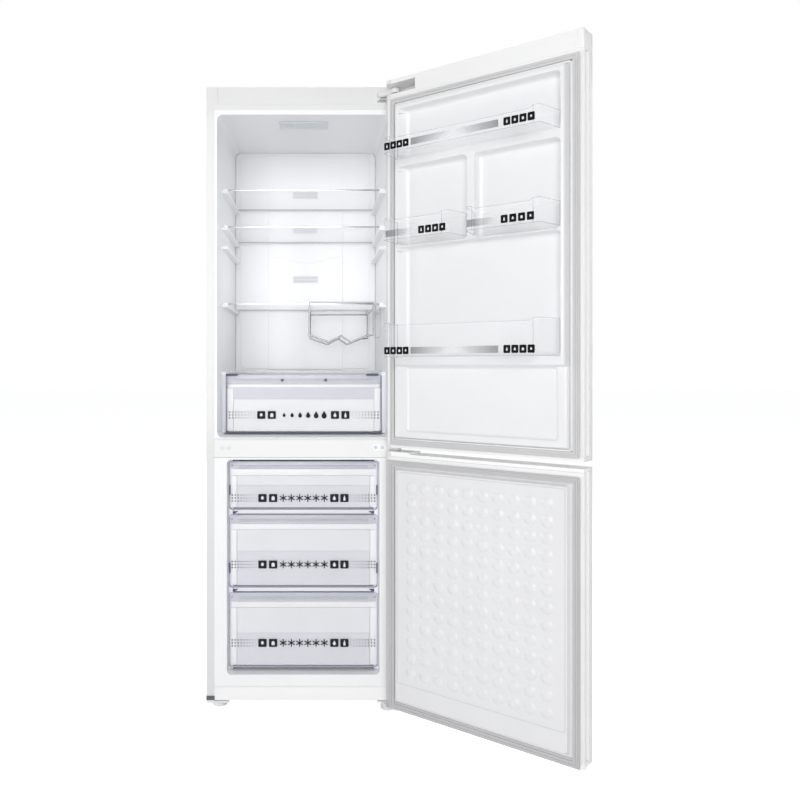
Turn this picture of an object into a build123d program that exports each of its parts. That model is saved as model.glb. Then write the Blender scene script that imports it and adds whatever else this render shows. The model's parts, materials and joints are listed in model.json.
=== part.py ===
from build123d import *
import math
import os

# Bottom freezer refrigerator, in millimetres.
# Drawn with X to the right, Y from the cabinet's front plane to the back (the doors lie at Y < 0) and Z up
# from the floor, with both doors shut. At the end each door is swung to its rest angle, and the whole is
# moved so that the origin is on the floor under the middle of the cabinet.

# ---- cabinet ----
CAB_W, CAB_D = 595.0, 600.0
CAB_TOP, CAB_LOW = 1917.0, 33.0
SHEET = 1.0                       # steel sheet of the shell and the door skins
THIN = 0.8                        # rear sheet
FLANGE_SIDE, FLANGE_TOP = 24.0, 53.0
HALF = CAB_W / 2
GAP = 0.3                         # clearance between neighbouring pieces
WALL = 2.0                        # moulded liner wall

# ---- fridge compartment ----
FRIDGE_HALF, FRIDGE_HALF_BACK = 265.0, 257.0
FRIDGE_LOW, FRIDGE_TOP, FRIDGE_TOP_BACK = 840.0, 1833.0, 1846.0
FRIDGE_DEPTH = 520.0
DUCT_FACE, BAND_FACE = 468.0, 463.0     # depth of the air duct cover's face and of its raised band
DUCT_HALF, DUCT_LOW, DUCT_TOP, DUCT_R, DUCT_WALL = 256.6, 840.4, 1844.3, 19.0, 2.5
SHELF_LEVELS = {"upper": 1629.0, "middle": 1510.0, "lower": 1262.0}
RAIL_LEVELS = [1624.7, 1505.7, 1445.0, 1257.7, 1039.5]
SHELF_HALF, SHELF_FRONT, SHELF_BACK, GLASS = 252.0, 116.0, 448.0, 4.0

# ---- freezer compartment ----
FREEZER_HALF, FREEZER_HALF_BACK = 235.0, 229.0
FREEZER_LOW, FREEZER_TOP = 111.0, 772.0
FREEZER_DEPTH, STEP_DEPTH, STEP_TOP = 525.0, 318.0, 362.0
COVER_DEPTH = 450.0               # depth of the evaporator cover

# ---- base and machine compartment ----
PAN_Z, MACHINE_FRONT, MACHINE_TOP = 73.5, 380.0, 300.0
TRAY_Z, TRAY_T = 42.0, 2.0
KICK_TOP = 73.0

# ---- doors ----
DOOR_GAP, DOOR_T = 9.0, 66.0      # air gap that the gasket fills, and the door's thickness
DOOR_BACK, DOOR_FACE = -DOOR_GAP, -DOOR_GAP - DOOR_T
HINGE_X, HINGE_Y = 280.0, -46.0   # the vertical hinge axis
REST_ANGLE = 141.9                # how far both doors stand open at rest
UPPER_LOW, UPPER_TOP = 818.0, 1910.0
LOWER_LOW, LOWER_TOP = 45.0, 806.0
CAP_TALL, CAP_SHORT = 51.0, 14.0
HINGE_MARGIN, FREE_MARGIN, GASKET_W = 22.5, 10.5, 16.0     # outside the gasket on either side, and its width
CHAMFER = 12.0                    # of each door's back corner on its hinge side
LOWER_SHOULDER, SHOULDER_END = 5.0, 212.0     # the lower door's top is lower from here to its free edge
SKIN_RETURN, BEND_R, PROFILE_W = 20.0, 6.0, 17.0
NOTCH_LOW, NOTCH_TOP, NOTCH_LENGTH, NOTCH_FRONT = 1867.0, 1898.0, 105.0, -68.0
PIN_R, BORE_R = 4.0, 4.05
PILLAR_V, PILLAR_FOOT, PILLAR_CREST = 32.0, 263.0, 257.0
HINGE_FOOT, HINGE_CREST, PANEL_CREST = 258.5, 241.0, 252.0     # the same on the hinge side, to swing clear
RIDGE_LOW, APRON_V, APRON_LOW = 1064.0, 14.0, 853.0     # where the pillars end over the shallow lower panel
POCKET_FREE, POCKET_CREST, POCKET_FLOOR = -250.5, 234.0, 212.0     # ends of the pockets behind the bins
DIVIDER_HALF, DIVIDER_LOW = 8.0, 1406.0

# ---- door bins: low and high edge, then left and right end at the back, at the shoulder and in front ----
BIN_BACK_V, BIN_SHOULDER_V, BIN_FRONT_V = 4.5, 32.0, 112.0
BIN_WALL = 2.2
BINS = {
    "door_bin_top": (1658.0, 1704.0, -248.0, 210.0, -248.0, 232.0, -229.0, 229.0),
    "door_bin_right": (1413.0, 1476.0, 10.0, 210.0, 10.0, 232.0, 24.0, 229.0),
    "door_bin_left": (1413.0, 1476.0, -248.0, -10.0, -248.0, -10.0, -229.0, -24.0),
    "door_bin_bottom": (1085.0, 1181.0, -248.0, 210.0, -248.0, 232.0, -229.0, 229.0),
}

# ---- drawers: half width, low and high edge of the front, its depth; tub depth, tub half width, and the
# level that its runners slide on ----
FREEZER_SHELVES = {607.8: 440.0, 364.8: 308.0}      # low face and back edge of each plate
SHELF_T = 4.0
DRAWERS = {
    "crisper": (250.0, 844.0, 1034.0, 100.0, 352.0, 243.0, FRIDGE_LOW),
    "freezer_drawer_top": (232.0, 611.0, 764.0, 35.0, 400.0, 215.0, 607.8 + SHELF_T),
    "freezer_drawer_middle": (232.0, 368.0, 597.0, 35.0, 400.0, 215.0, 364.8 + SHELF_T),
    "freezer_drawer_bottom": (232.0, 119.0, 354.0, 35.0, 262.0, 215.0, FREEZER_LOW),
}
DRAWER_WALL, FRONT_T, TUB_R, DRAFT = 2.5, 4.0, 14.0, 7.0

# ---- machinery ----
FAN_Z, FAN_R, FAN_Y = 665.0, 50.0, 478.0
COMPRESSOR_X, COMPRESSOR_Y, COMPRESSOR_R = 130.0, 485.0, 78.0
MOUNTS = [(-80, -50), (-80, 50), (80, -50), (80, 50)]
ROLLER_X, ROLLER_Y, ROLLER_R, ROLLER_W, AXLE_R = 255.0, 550.0, 18.0, 16.0, 3.0
FOOT_X, FOOT_R, FOOT_H = 262.0, 22.0, 24.0
LEFT_FOOT_Y, RIGHT_FOOT_Y = 50.0, 24.0
DOME_R, DOME_H, DOME_PITCH, DOME_COLUMNS, DOME_ROWS = 17.3, 5.0, 44.86, 10, 13
PANEL_V, DOMES_X, DOMES_Z = 9.5, -2.3, 437.3


# ---------------------------------------------------------------- simple forms
def block(x0, x1, y0, y1, z0, z1):
    """A box between two opposite corners."""
    return Pos((x0 + x1) / 2, (y0 + y1) / 2, (z0 + z1) / 2) * Box(x1 - x0, y1 - y0, z1 - z0)


def rod(radius, start, end):
    """A round bar from one point to another."""
    along = Vector(*end) - Vector(*start)
    return Part() + Solid.make_cylinder(radius, along.length, Plane(origin=start, z_dir=along))


def plan_prism(points, z0, z1, rounds=None):
    """An outline in plan, carried up from z0 to z1, with the listed corners rounded."""
    face = make_face(Polyline(*points, close=True))
    for radius, corners in (rounds or []):
        near = [v for v in face.vertices()
                if any((v.X - x) ** 2 + (v.Y - y) ** 2 < 0.01 for x, y in corners)]
        face = fillet(near, radius)
    return extrude(Plane.XY.offset(z0) * face, amount=z1 - z0)


def side_prism(points, x0, x1):
    """An outline in (Y, Z), carried along X."""
    return extrude(Plane.YZ.offset(x0) * make_face(Polyline(*points, close=True)), amount=x1 - x0)


def upright(width, height, radius, y, z_mid, x_mid=0.0):
    """A rounded rectangle standing in the plane of depth y."""
    plane = Plane(origin=(x_mid, y, z_mid), x_dir=(1, 0, 0), z_dir=(0, -1, 0))
    return plane * RectangleRounded(width, height, radius)


def frustum(front, back, radius):
    """A drafted block between two rounded rectangles, each (depth, left, right, low, high)."""
    return loft([upright(right - left, high - low, radius, y, (low + high) / 2, (left + right) / 2)
                 for y, left, right, low, high in (front, back)])


def group(*solids):
    """Separate solids kept in one node."""
    return Compound([s for part in solids for s in part.solids()])


# ---------------------------------------------------------------- cabinet
def cabinet_shell():
    """Sides and top of folded sheet, with return flanges round the front and the back."""
    outer = block(-HALF, HALF, 0, CAB_D, CAB_LOW, CAB_TOP)
    room = block(-HALF + SHEET, HALF - SHEET, SHEET, CAB_D - SHEET, CAB_LOW - 1, CAB_TOP - SHEET)
    mouth = block(-HALF + FLANGE_SIDE, HALF - FLANGE_SIDE, -1, SHEET + 1, CAB_LOW - 1, CAB_TOP - FLANGE_TOP)
    rear = block(-HALF + 14, HALF - 14, CAB_D - 2, CAB_D + 1, CAB_LOW - 1, CAB_TOP - 14)
    return outer - room - mouth - rear


def back_panel():
    """Rear sheet inside the shell's rear flange, above the machine compartment, with pressed ribs."""
    y0 = CAB_D - SHEET - GAP - THIN
    panel = block(-HALF + 1.5, HALF - 1.5, y0, y0 + THIN, MACHINE_TOP + 3, CAB_TOP - 1.5)
    ribs = [block(x - 9, x + 9, y0, CAB_D - GAP, MACHINE_TOP + 90, CAB_TOP - 90)
            for x in (-180, -60, 60, 180)]
    return panel + ribs


def base_pan():
    """Folded sheet that steps up over the machine compartment, and the compressor's tray."""
    half, rear, t = HALF - SHEET - GAP, CAB_D - 3, 1.5
    pan = [(4, PAN_Z), (MACHINE_FRONT, PAN_Z), (MACHINE_FRONT, MACHINE_TOP), (rear, MACHINE_TOP),
           (rear, MACHINE_TOP + t), (MACHINE_FRONT - t, MACHINE_TOP + t),
           (MACHINE_FRONT - t, PAN_Z + t), (4, PAN_Z + t)]
    tray = [(MACHINE_FRONT - t, PAN_Z + 1), (MACHINE_FRONT - t, TRAY_Z), (rear - 5, TRAY_Z),
            (rear - 5, TRAY_Z + TRAY_T), (MACHINE_FRONT, TRAY_Z + TRAY_T), (MACHINE_FRONT, PAN_Z + 1)]
    return side_prism(pan, -half, half) + side_prism(tray, -half, half)


def fridge_room(grow=0.0):
    """The space inside the fridge liner, or that space made larger all round."""
    near, far = FRIDGE_HALF + grow, FRIDGE_HALF_BACK + grow
    front = (0.0, -near, near, FRIDGE_LOW - grow, FRIDGE_TOP + grow)
    back = (FRIDGE_DEPTH + grow, -far, far, FRIDGE_LOW - grow, FRIDGE_TOP_BACK + grow)
    return frustum(front, back, 18.0 + grow)


def freezer_room(grow=0.0):
    """The space inside the freezer liner, with its step over the machine compartment."""
    near, far = FREEZER_HALF + grow, FREEZER_HALF_BACK + grow
    front = (0.0, -near, near, FREEZER_LOW - grow, FREEZER_TOP + grow)
    back = (FREEZER_DEPTH + grow, -far, far, FREEZER_LOW - grow, FREEZER_TOP + grow)
    step = block(-HALF, HALF, STEP_DEPTH + grow, CAB_D, 0, STEP_TOP - grow)
    return frustum(front, back, 14.0 + grow) - step


def fridge_wall(depth):
    """Half width of the fridge compartment at a depth."""
    return FRIDGE_HALF + (FRIDGE_HALF_BACK - FRIDGE_HALF) * depth / FRIDGE_DEPTH


def freezer_wall(depth):
    """Half width of the freezer compartment at a depth."""
    return FREEZER_HALF + (FREEZER_HALF_BACK - FREEZER_HALF) * depth / FREEZER_DEPTH


def side_rails(wall, levels, height, reach, y0, y1):
    """Ledges moulded into both side walls, with their tops at the given levels."""
    rails = []
    for side in (-1, 1):
        plan = [(side * (wall(y0) + 1), y0), (side * (wall(y1) + 1), y1), (side * reach, y1),
                (side * reach, y0 + 8), (side * (reach + 6), y0)]
        rails += [plan_prism(plan, z - height, z) for z in levels]
    return rails


def fridge_liner():
    """Moulded lining of the fridge compartment with its front flange and shelf ledges."""
    flange = block(-HALF + 6, HALF - 6, SHEET + 0.2, SHEET + 2.2, 836, CAB_TOP - 14)
    shell = fridge_room(WALL) + flange - fridge_room()
    shell -= block(-HALF, HALF, -5, SHEET + 0.2, 0, CAB_TOP)
    return shell + side_rails(fridge_wall, RAIL_LEVELS, 9, 243, 104, 462)


def freezer_liner():
    """Moulded lining of the freezer compartment with its front flange and shelf ledges."""
    flange = block(-HALF + 6, HALF - 6, SHEET + 0.2, SHEET + 2.2, PAN_Z + 2, 778)
    shell = freezer_room(WALL) + flange - freezer_room()
    shell -= block(-HALF, HALF, -5, SHEET + 0.2, 0, CAB_TOP)
    upper = side_rails(freezer_wall, [607.5], 6, 219, 44, 440)
    lower = side_rails(freezer_wall, [364.5], 6, 219, 44, 310)
    return shell + upper + lower


def cabinet_foam():
    """Insulation that fills the walls between the shell and the two liners."""
    y0 = SHEET + 2.5
    inner = HALF - SHEET - GAP
    foam = block(-inner, inner, y0, CAB_D - 7.5, PAN_Z + 2, CAB_TOP - SHEET - GAP)
    foam -= block(-HALF, HALF, MACHINE_FRONT - 2, CAB_D, 0, MACHINE_TOP + 2)
    foam -= fridge_room(WALL + GAP)
    foam -= freezer_room(WALL + GAP)
    return foam - block(-HALF, HALF, -1, 32, 776, 838)


def mullion_rail():
    """Cross rail of channel section between the two compartments."""
    z0, z1, half = 779.0, 835.0, HALF - FLANGE_SIDE - GAP
    outer = block(-half, half, 0, 30, z0, z1)
    return outer - block(-half - 1, half + 1, 1.5, 31, z0 + 1.5, z1 - 1.5)


def kick_panel():
    """Plinth across the front, with a short return along its top."""
    half = HALF - FLANGE_SIDE - GAP
    return block(-half, half, 0, 3, CAB_LOW, KICK_TOP) + block(-half, half, 3, 14, KICK_TOP - 2.5, KICK_TOP)


def air_duct_cover():
    """Panel over the back wall that carries the cold air up, with a raised band and outlet slots."""
    back, middle, height = FRIDGE_DEPTH - GAP, (DUCT_LOW + DUCT_TOP) / 2, DUCT_TOP - DUCT_LOW
    body = extrude(upright(2 * DUCT_HALF, height, DUCT_R, back, middle), amount=back - DUCT_FACE)
    room = upright(2 * (DUCT_HALF - DUCT_WALL), height - 2 * DUCT_WALL, DUCT_R - DUCT_WALL, back + 1, middle)
    body -= extrude(room, amount=back + 1 - DUCT_FACE - DUCT_WALL)
    body += block(-136, 136, BAND_FACE, DUCT_FACE + 1, 1049, 1818)
    slots = [block(x0, x1, DUCT_FACE - 6, DUCT_FACE + 4, z - 2.5, z + 2.5)
             for z_mid in (1689, 1561, 1378)
             for z in (z_mid - 9, z_mid, z_mid + 9)
             for x0, x1 in ((-44, -2), (2, 44))]
    return body - slots


def ceiling_lamp_lens():
    """Lens of the lamp, held 0.3 under the sloping ceiling."""
    slope = (FRIDGE_TOP_BACK - FRIDGE_TOP) / FRIDGE_DEPTH
    y0, y1 = 77.0, 148.0
    z0, z1 = FRIDGE_TOP + slope * y0 - GAP, FRIDGE_TOP + slope * y1 - GAP
    outline = [(y0, z0), (y1, z1), (y1 - 2, z1 - 3), (y0 + 2, z0 - 3)]
    return side_prism(outline, -76, 76)


def glass_shelf(level):
    """Glass plate that lies on a pair of ledges."""
    return plan_prism([(-SHELF_HALF, SHELF_FRONT), (SHELF_HALF, SHELF_FRONT), (SHELF_HALF, SHELF_BACK),
                       (-SHELF_HALF, SHELF_BACK)], level - GLASS, level,
                      [(6, [(-SHELF_HALF, SHELF_FRONT), (SHELF_HALF, SHELF_FRONT)])])


def crisper_cover():
    """Clear plate over the crisper."""
    return block(-SHELF_HALF, SHELF_HALF, 104, 462, 1039.8, 1044.8)


def freezer_shelves():
    """Glass plates between the freezer drawers."""
    return group(*[block(-227, 227, 46, back, low, low + SHELF_T)
                   for low, back in FREEZER_SHELVES.items()])


def wire(points, radius):
    """A bent wire: round bars that meet in balls."""
    bars = [rod(radius, a, b) for a, b in zip(points, points[1:])]
    balls = [Pos(*p) * Sphere(radius) for p in points[1:-1]]
    return Part() + bars + balls


def bottle_rack():
    """Wire rack hooked over the lower shelf: waved wires at front and back, rods between."""
    r, thin, left, right = 2.5, 2.0, 18.0, 224.0
    over, under = SHELF_LEVELS["lower"] + thin + GAP, SHELF_LEVELS["lower"] - GLASS - 13.5
    wave = [(left, 1160), (80, 1137), (120, 1157), (150, 1137), (200, 1157), (right, 1160)]
    front, rear, behind = SHELF_FRONT - 3.5, 400.0, SHELF_BACK + 8
    rack = Part()
    for y, crest in ((front, over), (rear, under)):
        outline = [(left, y, crest)] + [(x, y, z) for x, z in wave] + [(right, y, crest)]
        rack += wire(outline + [(left, y, crest)], r) + Pos(left, y, crest) * Sphere(r)
    rack += [rod(thin, (x, front, z), (x, rear, z)) for x, z in wave[1:5]]
    for x in (left, right):
        rack += rod(thin, (x, front, over), (x, front + 30, over))
        rack += wire([(x, front, under), (x, behind, under), (x, behind, over), (x, behind - 24, over)],
                     thin)
    return rack


def evaporator_cover():
    """White panel in front of the evaporator, with air slots and the fan's grille."""
    low, high, back = STEP_TOP + GAP, FREEZER_TOP - GAP, COVER_DEPTH + 3
    outline = upright(2 * (freezer_wall(back) - GAP), high - low, 14, back, (low + high) / 2)
    panel = extrude(outline, amount=3)
    inlets = [block(x - 16, x + 16, COVER_DEPTH - 1, COVER_DEPTH + 4, z - 2.5, z + 2.5)
              for x in (-170, -128, -86, 86, 128, 170) for z in (400, 412, 424)]
    grille = [block(-45, 45, COVER_DEPTH - 1, COVER_DEPTH + 4, FAN_Z + dz - 2.5, FAN_Z + dz + 2.5)
              for dz in (-30, -20, -10, 0, 10, 20, 30)]
    return panel - (inlets + grille)


def evaporator():
    """Tube and fin coil."""
    fins = [block(x - 0.5, x + 0.5, 462, 516, 392, 560) for x in range(-180, 181, 20)]
    tubes = [rod(4, (-190, y, z), (190, y, z)) for y in (476, 502) for z in (410, 440, 470, 500, 530)]
    bends = [block(side * 190 - 4, side * 190 + 4, 472, 506, z - 4, z + 4)
             for side in (-1, 1) for z in (410, 440, 470, 500, 530)]
    return Part() + fins + tubes + bends


def evaporator_fan_motor():
    """Small motor on the back wall of the freezer, with its shaft forward."""
    body = rod(24, (0, FAN_Y + 12, FAN_Z), (0, 518, FAN_Z))
    plate = block(-34, 34, 518, FREEZER_DEPTH - GAP, FAN_Z - 34, FAN_Z + 34)
    return body + plate + rod(2.5, (0, FAN_Y - 6, FAN_Z), (0, FAN_Y + 12, FAN_Z))


def evaporator_fan():
    """Axial fan wheel with five blades."""
    hub = rod(14, (0, FAN_Y - 8, FAN_Z), (0, FAN_Y + 8, FAN_Z))
    blades = []
    for k in range(5):
        blade = Pos(0, 0, 30) * Rot(0, 0, 32) * Box(26, 2, 38)
        blades.append(Pos(0, FAN_Y, FAN_Z) * Rot(0, 72 * k, 0) * blade)
    return hub + blades - rod(2.55, (0, FAN_Y - 9, FAN_Z), (0, FAN_Y + 9, FAN_Z))


def compressor():
    """Hermetic compressor: domed shell on a foot plate, with its electrical cover."""
    x, y, z = COMPRESSOR_X, COMPRESSOR_Y, TRAY_Z + TRAY_T
    can = Pos(x, y, z + 88) * Cylinder(COMPRESSOR_R, 116)
    can = fillet(can.edges().filter_by(GeomType.CIRCLE), 34)
    seam = Pos(x, y, z + 92) * Cylinder(COMPRESSOR_R + 4, 6)
    foot = block(x - 92, x + 92, y - 62, y + 62, z + 18, z + 21)
    holes = [rod(6, (x + i, y + j, z + 10), (x + i, y + j, z + 30)) for i, j in MOUNTS]
    skirt = Pos(x, y, z + 28) * Cylinder(48, 16)
    cover = block(x - COMPRESSOR_R - 26, x - COMPRESSOR_R + 14, y - 30, y + 30, z + 50, z + 110)
    return can + seam + (foot - holes) + skirt + cover


def compressor_mounts():
    """Four rubber mounts between the foot plate and the tray."""
    z = TRAY_Z + TRAY_T
    mounts = []
    for i, j in MOUNTS:
        at = (COMPRESSOR_X + i, COMPRESSOR_Y + j)
        mounts.append(Pos(*at, z + 9) * Cylinder(11, 18) + Pos(*at, z + 20) * Cylinder(5.8, 8))
    return group(*mounts)


def condenser_coil():
    """Finned condenser beside the compressor."""
    x0, x1 = -262, -60
    fins = [block(x, x + 1, 420, 560, 60, 190) for x in range(x0 + 10, x1 - 9, 12)]
    tubes = [rod(3.2, (x0, y, z), (x1, y, z)) for y in (440, 490, 540) for z in (80, 125, 170)]
    ends = [block(x - 1.5, x + 1.5, 415, 565, TRAY_Z + 2, 195) for x in (x0, x1)]
    return Part() + fins + tubes + ends


def drip_tray():
    """Open tray over the compressor that the defrost water runs to."""
    outer = block(20, 250, 410, 575, 238, 268)
    return outer - block(22.5, 247.5, 412.5, 572.5, 240.5, 269) + rod(6, (60, 480, 268), (60, 480, 298.5)) \
        + block(20, 100, 470, 490, 262, 268)


def machine_cover():
    """Vented rear cover of the machine compartment, open over the mains inlet."""
    y0 = CAB_D - SHEET - 3
    panel = block(-HALF + 16, HALF - 16, y0, y0 + 2, TRAY_Z + 3, MACHINE_TOP - 2)
    slots = [block(x - 24, x + 24, y0 - 1, y0 + 3, z - 3, z + 3)
             for x in (-230, -165, -100, -35, 30, 95, 160, 225) for z in range(90, 260, 16)]
    return panel - slots - block(-223, -179, y0 - 1, y0 + 3, 224, 264)


def electronics_box():
    """Control board housing with the mains inlet in its rear wall."""
    box = block(-258, -120, 470, 575, 205, MACHINE_TOP - GAP)
    return box - block(-215, -187, 560, 576, 232, 256)


# ---------------------------------------------------------------- hinges, feet, rollers
def top_hinge_bracket():
    """Plate on the header and an arm that carries the upper pin, inside the door's notch."""
    plate = block(229, 268, -3, -0.1, 1870, 1890)
    arm = plan_prism([(236, -0.1), (266, -0.1), (289, -42), (286, -56), (273, -55), (269, -44), (250, -16),
                      (236, -12)], 1873, 1878)
    return plate + arm + rod(PIN_R, (HINGE_X, HINGE_Y, 1849), (HINGE_X, HINGE_Y, 1874))


def top_hinge_cover():
    """Moulded cover of the top hinge: a hood on the header and a low arm out to the pin."""
    plan = [(227, -3.3), (266, -3.3), (291, -42), (288, -58), (272, -58), (267, -45), (248, -22),
            (227, -20)]
    cover = plan_prism(plan, 1878.3, 1897, [(5, [(291, -42), (288, -58), (272, -58), (227, -20)])])
    hood = [(227, -0.3), (268, -0.3), (268, -5.4), (265, -8.4), (230, -8.4), (227, -5.4)]
    cover += plan_prism(hood, 1878.3, 1914) + block(227, 235.7, -8.4, -3.3, 1871, 1879)
    return cover - block(226, 269, -3.3, 0, 1870, 1890.3) - block(230, 263, -8, -3, 1878, 1889)


def middle_hinge_bracket():
    """Plate on the cross rail, an arm in the gap between the doors, and one pin up and down."""
    plate = block(214, 291, -3, -0.1, 800, 820)
    arm = plan_prism([(252, -0.1), (288, -0.1), (290, -42), (286, -55), (274, -55), (264, -40),
                      (252, -16)], 810, 814)
    pin = rod(PIN_R, (HINGE_X, HINGE_Y, 790), (HINGE_X, HINGE_Y, 834))
    return plate + arm + pin


def corner_plate(side, foot_y):
    """Plate under one front corner, hung from the base pan, with the foot's threaded hole."""
    x0, x1 = sorted((side * 228, side * 294))
    plate = block(x0, x1, -2.5, 84, 26, 31)
    web = block(x0, x1, 80, 84, 31, PAN_Z)
    hole = rod(BORE_R, (side * FOOT_X, foot_y, 20), (side * FOOT_X, foot_y, 35))
    return plate + web - hole


def lower_hinge_bracket():
    """Right corner plate with the arm that carries the lower door."""
    arm = plan_prism([(240, 0), (292, 0), (291, -42), (286, -55), (274, -55), (262, -40), (240, -10)],
                     26, 31)
    collar = Pos(HINGE_X, HINGE_Y, (31 + 44.5) / 2) * Cylinder(8, 13.5)
    pin = rod(PIN_R, (HINGE_X, HINGE_Y, 30), (HINGE_X, HINGE_Y, 64))
    return corner_plate(1, RIGHT_FOOT_Y) + arm + collar + pin


def left_corner_bracket():
    """Left corner plate with a blank tab where the hinge would go on a reversed door."""
    tab = block(-HALF, -HALF + FLANGE_SIDE, -2.5, -0.3, 26, 48)
    return corner_plate(-1, LEFT_FOOT_Y) + tab


def hinge_screws():
    """Countersunk screws of the top and middle hinges."""
    screws = []
    for x, z in [(222, 810), (243, 810), (238, 1884), (256, 1884)]:
        head = Pos(x, -3.4, z) * Rot(90, 0, 0) * Cylinder(4, 0.7)
        screws.append(head - block(x - 3, x + 3, -4, -3.45, z - 0.4, z + 0.4))
    return group(*screws)


def levelling_foot(x, y):
    """Round foot on a threaded stud."""
    knob = Pos(x, y, FOOT_H / 2) * Cylinder(FOOT_R, FOOT_H)
    knob = fillet(knob.edges().filter_by(GeomType.CIRCLE).sort_by(Axis.Z)[-1], 5)
    return knob + Pos(x, y, 42) * Cylinder(PIN_R, 38)


def roller_bracket(x):
    """Fork under the tray with its axle."""
    reach = ROLLER_W / 2 + 0.5
    top = block(x - reach - 2, x + reach + 2, ROLLER_Y - 24, ROLLER_Y + 24, TRAY_Z - 2, TRAY_Z)
    cheeks = [block(x + s * (reach + 1) - 1, x + s * (reach + 1) + 1, ROLLER_Y - 12, ROLLER_Y + 12,
                    ROLLER_R - 8, TRAY_Z) for s in (-1, 1)]
    axle = rod(AXLE_R, (x - reach - 2, ROLLER_Y, ROLLER_R), (x + reach + 2, ROLLER_Y, ROLLER_R))
    return top + cheeks + axle


def rear_roller(x):
    """Plastic roller with a tread raised in its middle and a bore that runs on the axle."""
    def disc(radius, half):
        return rod(radius, (x - half, ROLLER_Y, ROLLER_R), (x + half, ROLLER_Y, ROLLER_R))
    half = ROLLER_W / 2
    return disc(ROLLER_R - 2.5, half) + disc(ROLLER_R, half - 2) - disc(AXLE_R + 0.05, half + 1)


# ---------------------------------------------------------------- doors, drawn shut
def notch():
    """The space in the upper door's top end cap that the hinge arm swings in."""
    return block(HALF - NOTCH_LENGTH, HALF + 5, NOTCH_FRONT, 5, NOTCH_LOW, NOTCH_TOP)


def door_skin(low, high):
    """Folded front sheet: a full return on the hinge side and a short one on the free side."""
    x0, x1, y0, y1, t = -HALF, HALF, DOOR_FACE, DOOR_BACK, SHEET
    y_short, bend = DOOR_FACE + SKIN_RETURN, CHAMFER + t * math.tan(math.radians(22.5))
    outline = [(x0, y_short), (x0, y0), (x1, y0), (x1, y1 - CHAMFER), (x1 - CHAMFER, y1),
               (x1 - HINGE_MARGIN, y1), (x1 - HINGE_MARGIN, y1 - t), (x1 - bend, y1 - t),
               (x1 - t, y1 - bend), (x1 - t, y0 + t), (x0 + t, y0 + t), (x0 + t, y_short)]
    outer_corners = (BEND_R, [(x0, y0), (x1, y0)])
    inner_corners = (BEND_R - t, [(x0 + t, y0 + t), (x1 - t, y0 + t)])
    return plan_prism(outline, low, high, [outer_corners, inner_corners])


def beyond_chamfer(inset):
    """The space outside the doors' chamfered corner, or outside a line inset from it."""
    level = HALF + DOOR_BACK - CHAMFER - inset * math.sqrt(2)
    return plan_prism([(level + 40, -40), (level + 40, 10), (level - 10, 10)], 0, CAB_TOP)


def edge_profile(low, high):
    """Plastic profile along the free edge with a shallow finger grip."""
    x0, x1, y0 = -HALF, -HALF + PROFILE_W, DOOR_FACE + SKIN_RETURN + GAP
    return plan_prism([(x0, y0), (x1, y0), (x1, DOOR_BACK), (x0 + 1.5, DOOR_BACK), (x0, DOOR_BACK - 1.5),
                       (x0, -20), (x0 + 6, -26), (x0 + 6, -38), (x0, -44)], low, high)


def end_cap(low, high, boss_end, bore_low, bore_high):
    """End cap inside the skin, with a boss that reaches boss_end and the bore of the hinge pin."""
    inset = SHEET + GAP
    cap = block(-HALF + inset, HALF - inset, DOOR_FACE + inset, DOOR_BACK - inset, low, high)
    corners = [e for e in cap.edges().filter_by(Axis.Z) if e.center().Y < DOOR_FACE + 10]
    cap = fillet(corners, BEND_R)
    boss_low, boss_high = sorted((boss_end, (low + high) / 2))
    cap += block(HINGE_X - 12, HINGE_X + 12, HINGE_Y - 12, HINGE_Y + 12, boss_low, boss_high)
    cap -= beyond_chamfer(inset)
    return cap - rod(BORE_R, (HINGE_X, HINGE_Y, bore_low), (HINGE_X, HINGE_Y, bore_high))


def gasket(low, high):
    """Soft seal: a ring with rounded corners and a raised lip."""
    y0, y1 = DOOR_BACK, -0.5
    left, right = -HALF + FREE_MARGIN, HALF - HINGE_MARGIN
    width, height, middle, x_mid = right - left, high - low, (low + high) / 2, (left + right) / 2

    def plate(inset, radius, y, depth):
        outline = upright(width - 2 * inset, height - 2 * inset, radius, y, middle, x_mid)
        return extrude(outline, amount=depth)
    solid = plate(0, 5, y0 + 4, 4) + plate(4, 4, y1, y1 - y0 - 4)
    return solid - plate(GASKET_W, 3, y1 + 1, 12) - (plate(8, 3, y1 + 1, 3) - plate(10.5, 3, y1 + 2, 5))


def upper_pockets(grow):
    """The recesses of the upper door's liner, or the same made larger for the foam behind them."""
    floor, mouth = DOOR_BACK + 2.5 - grow, DOOR_BACK + PILLAR_V + 10
    slant = (POCKET_CREST - POCKET_FLOOR) / (PILLAR_V - 2.5)
    seat_top, seat_bottom = BINS["door_bin_top"][0] - GAP, BINS["door_bin_bottom"][0] - GAP

    def pocket(left, low, high):
        near, far = POCKET_FLOOR + grow, POCKET_FLOOR + grow + slant * (mouth - floor)
        outline = [(left, floor), (left, mouth), (far, mouth), (near, floor)]
        return plan_prism(outline, low - grow, high + grow)
    top = pocket(POCKET_FREE - grow, seat_top, 1808)
    shelf_left = block(POCKET_FREE - grow, -DIVIDER_HALF + grow, floor, mouth, DIVIDER_LOW - 1, 1640 + grow)
    shelf_right = pocket(DIVIDER_HALF - grow, DIVIDER_LOW - 1 + grow, 1640)
    middle = pocket(POCKET_FREE - grow, seat_bottom, DIVIDER_LOW)
    bottom = block(-238 - grow, 218 + grow, floor + 3.5, mouth, APRON_LOW + 13 - grow, RIDGE_LOW - 3 + grow)
    return [top, shelf_left, shelf_right, middle, bottom]


def liner_foot(shrink):
    """Where a liner form starts: in its sheet, or behind it where the form is hollow."""
    return DOOR_BACK - (3.0 if shrink else 0.5)


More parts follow.
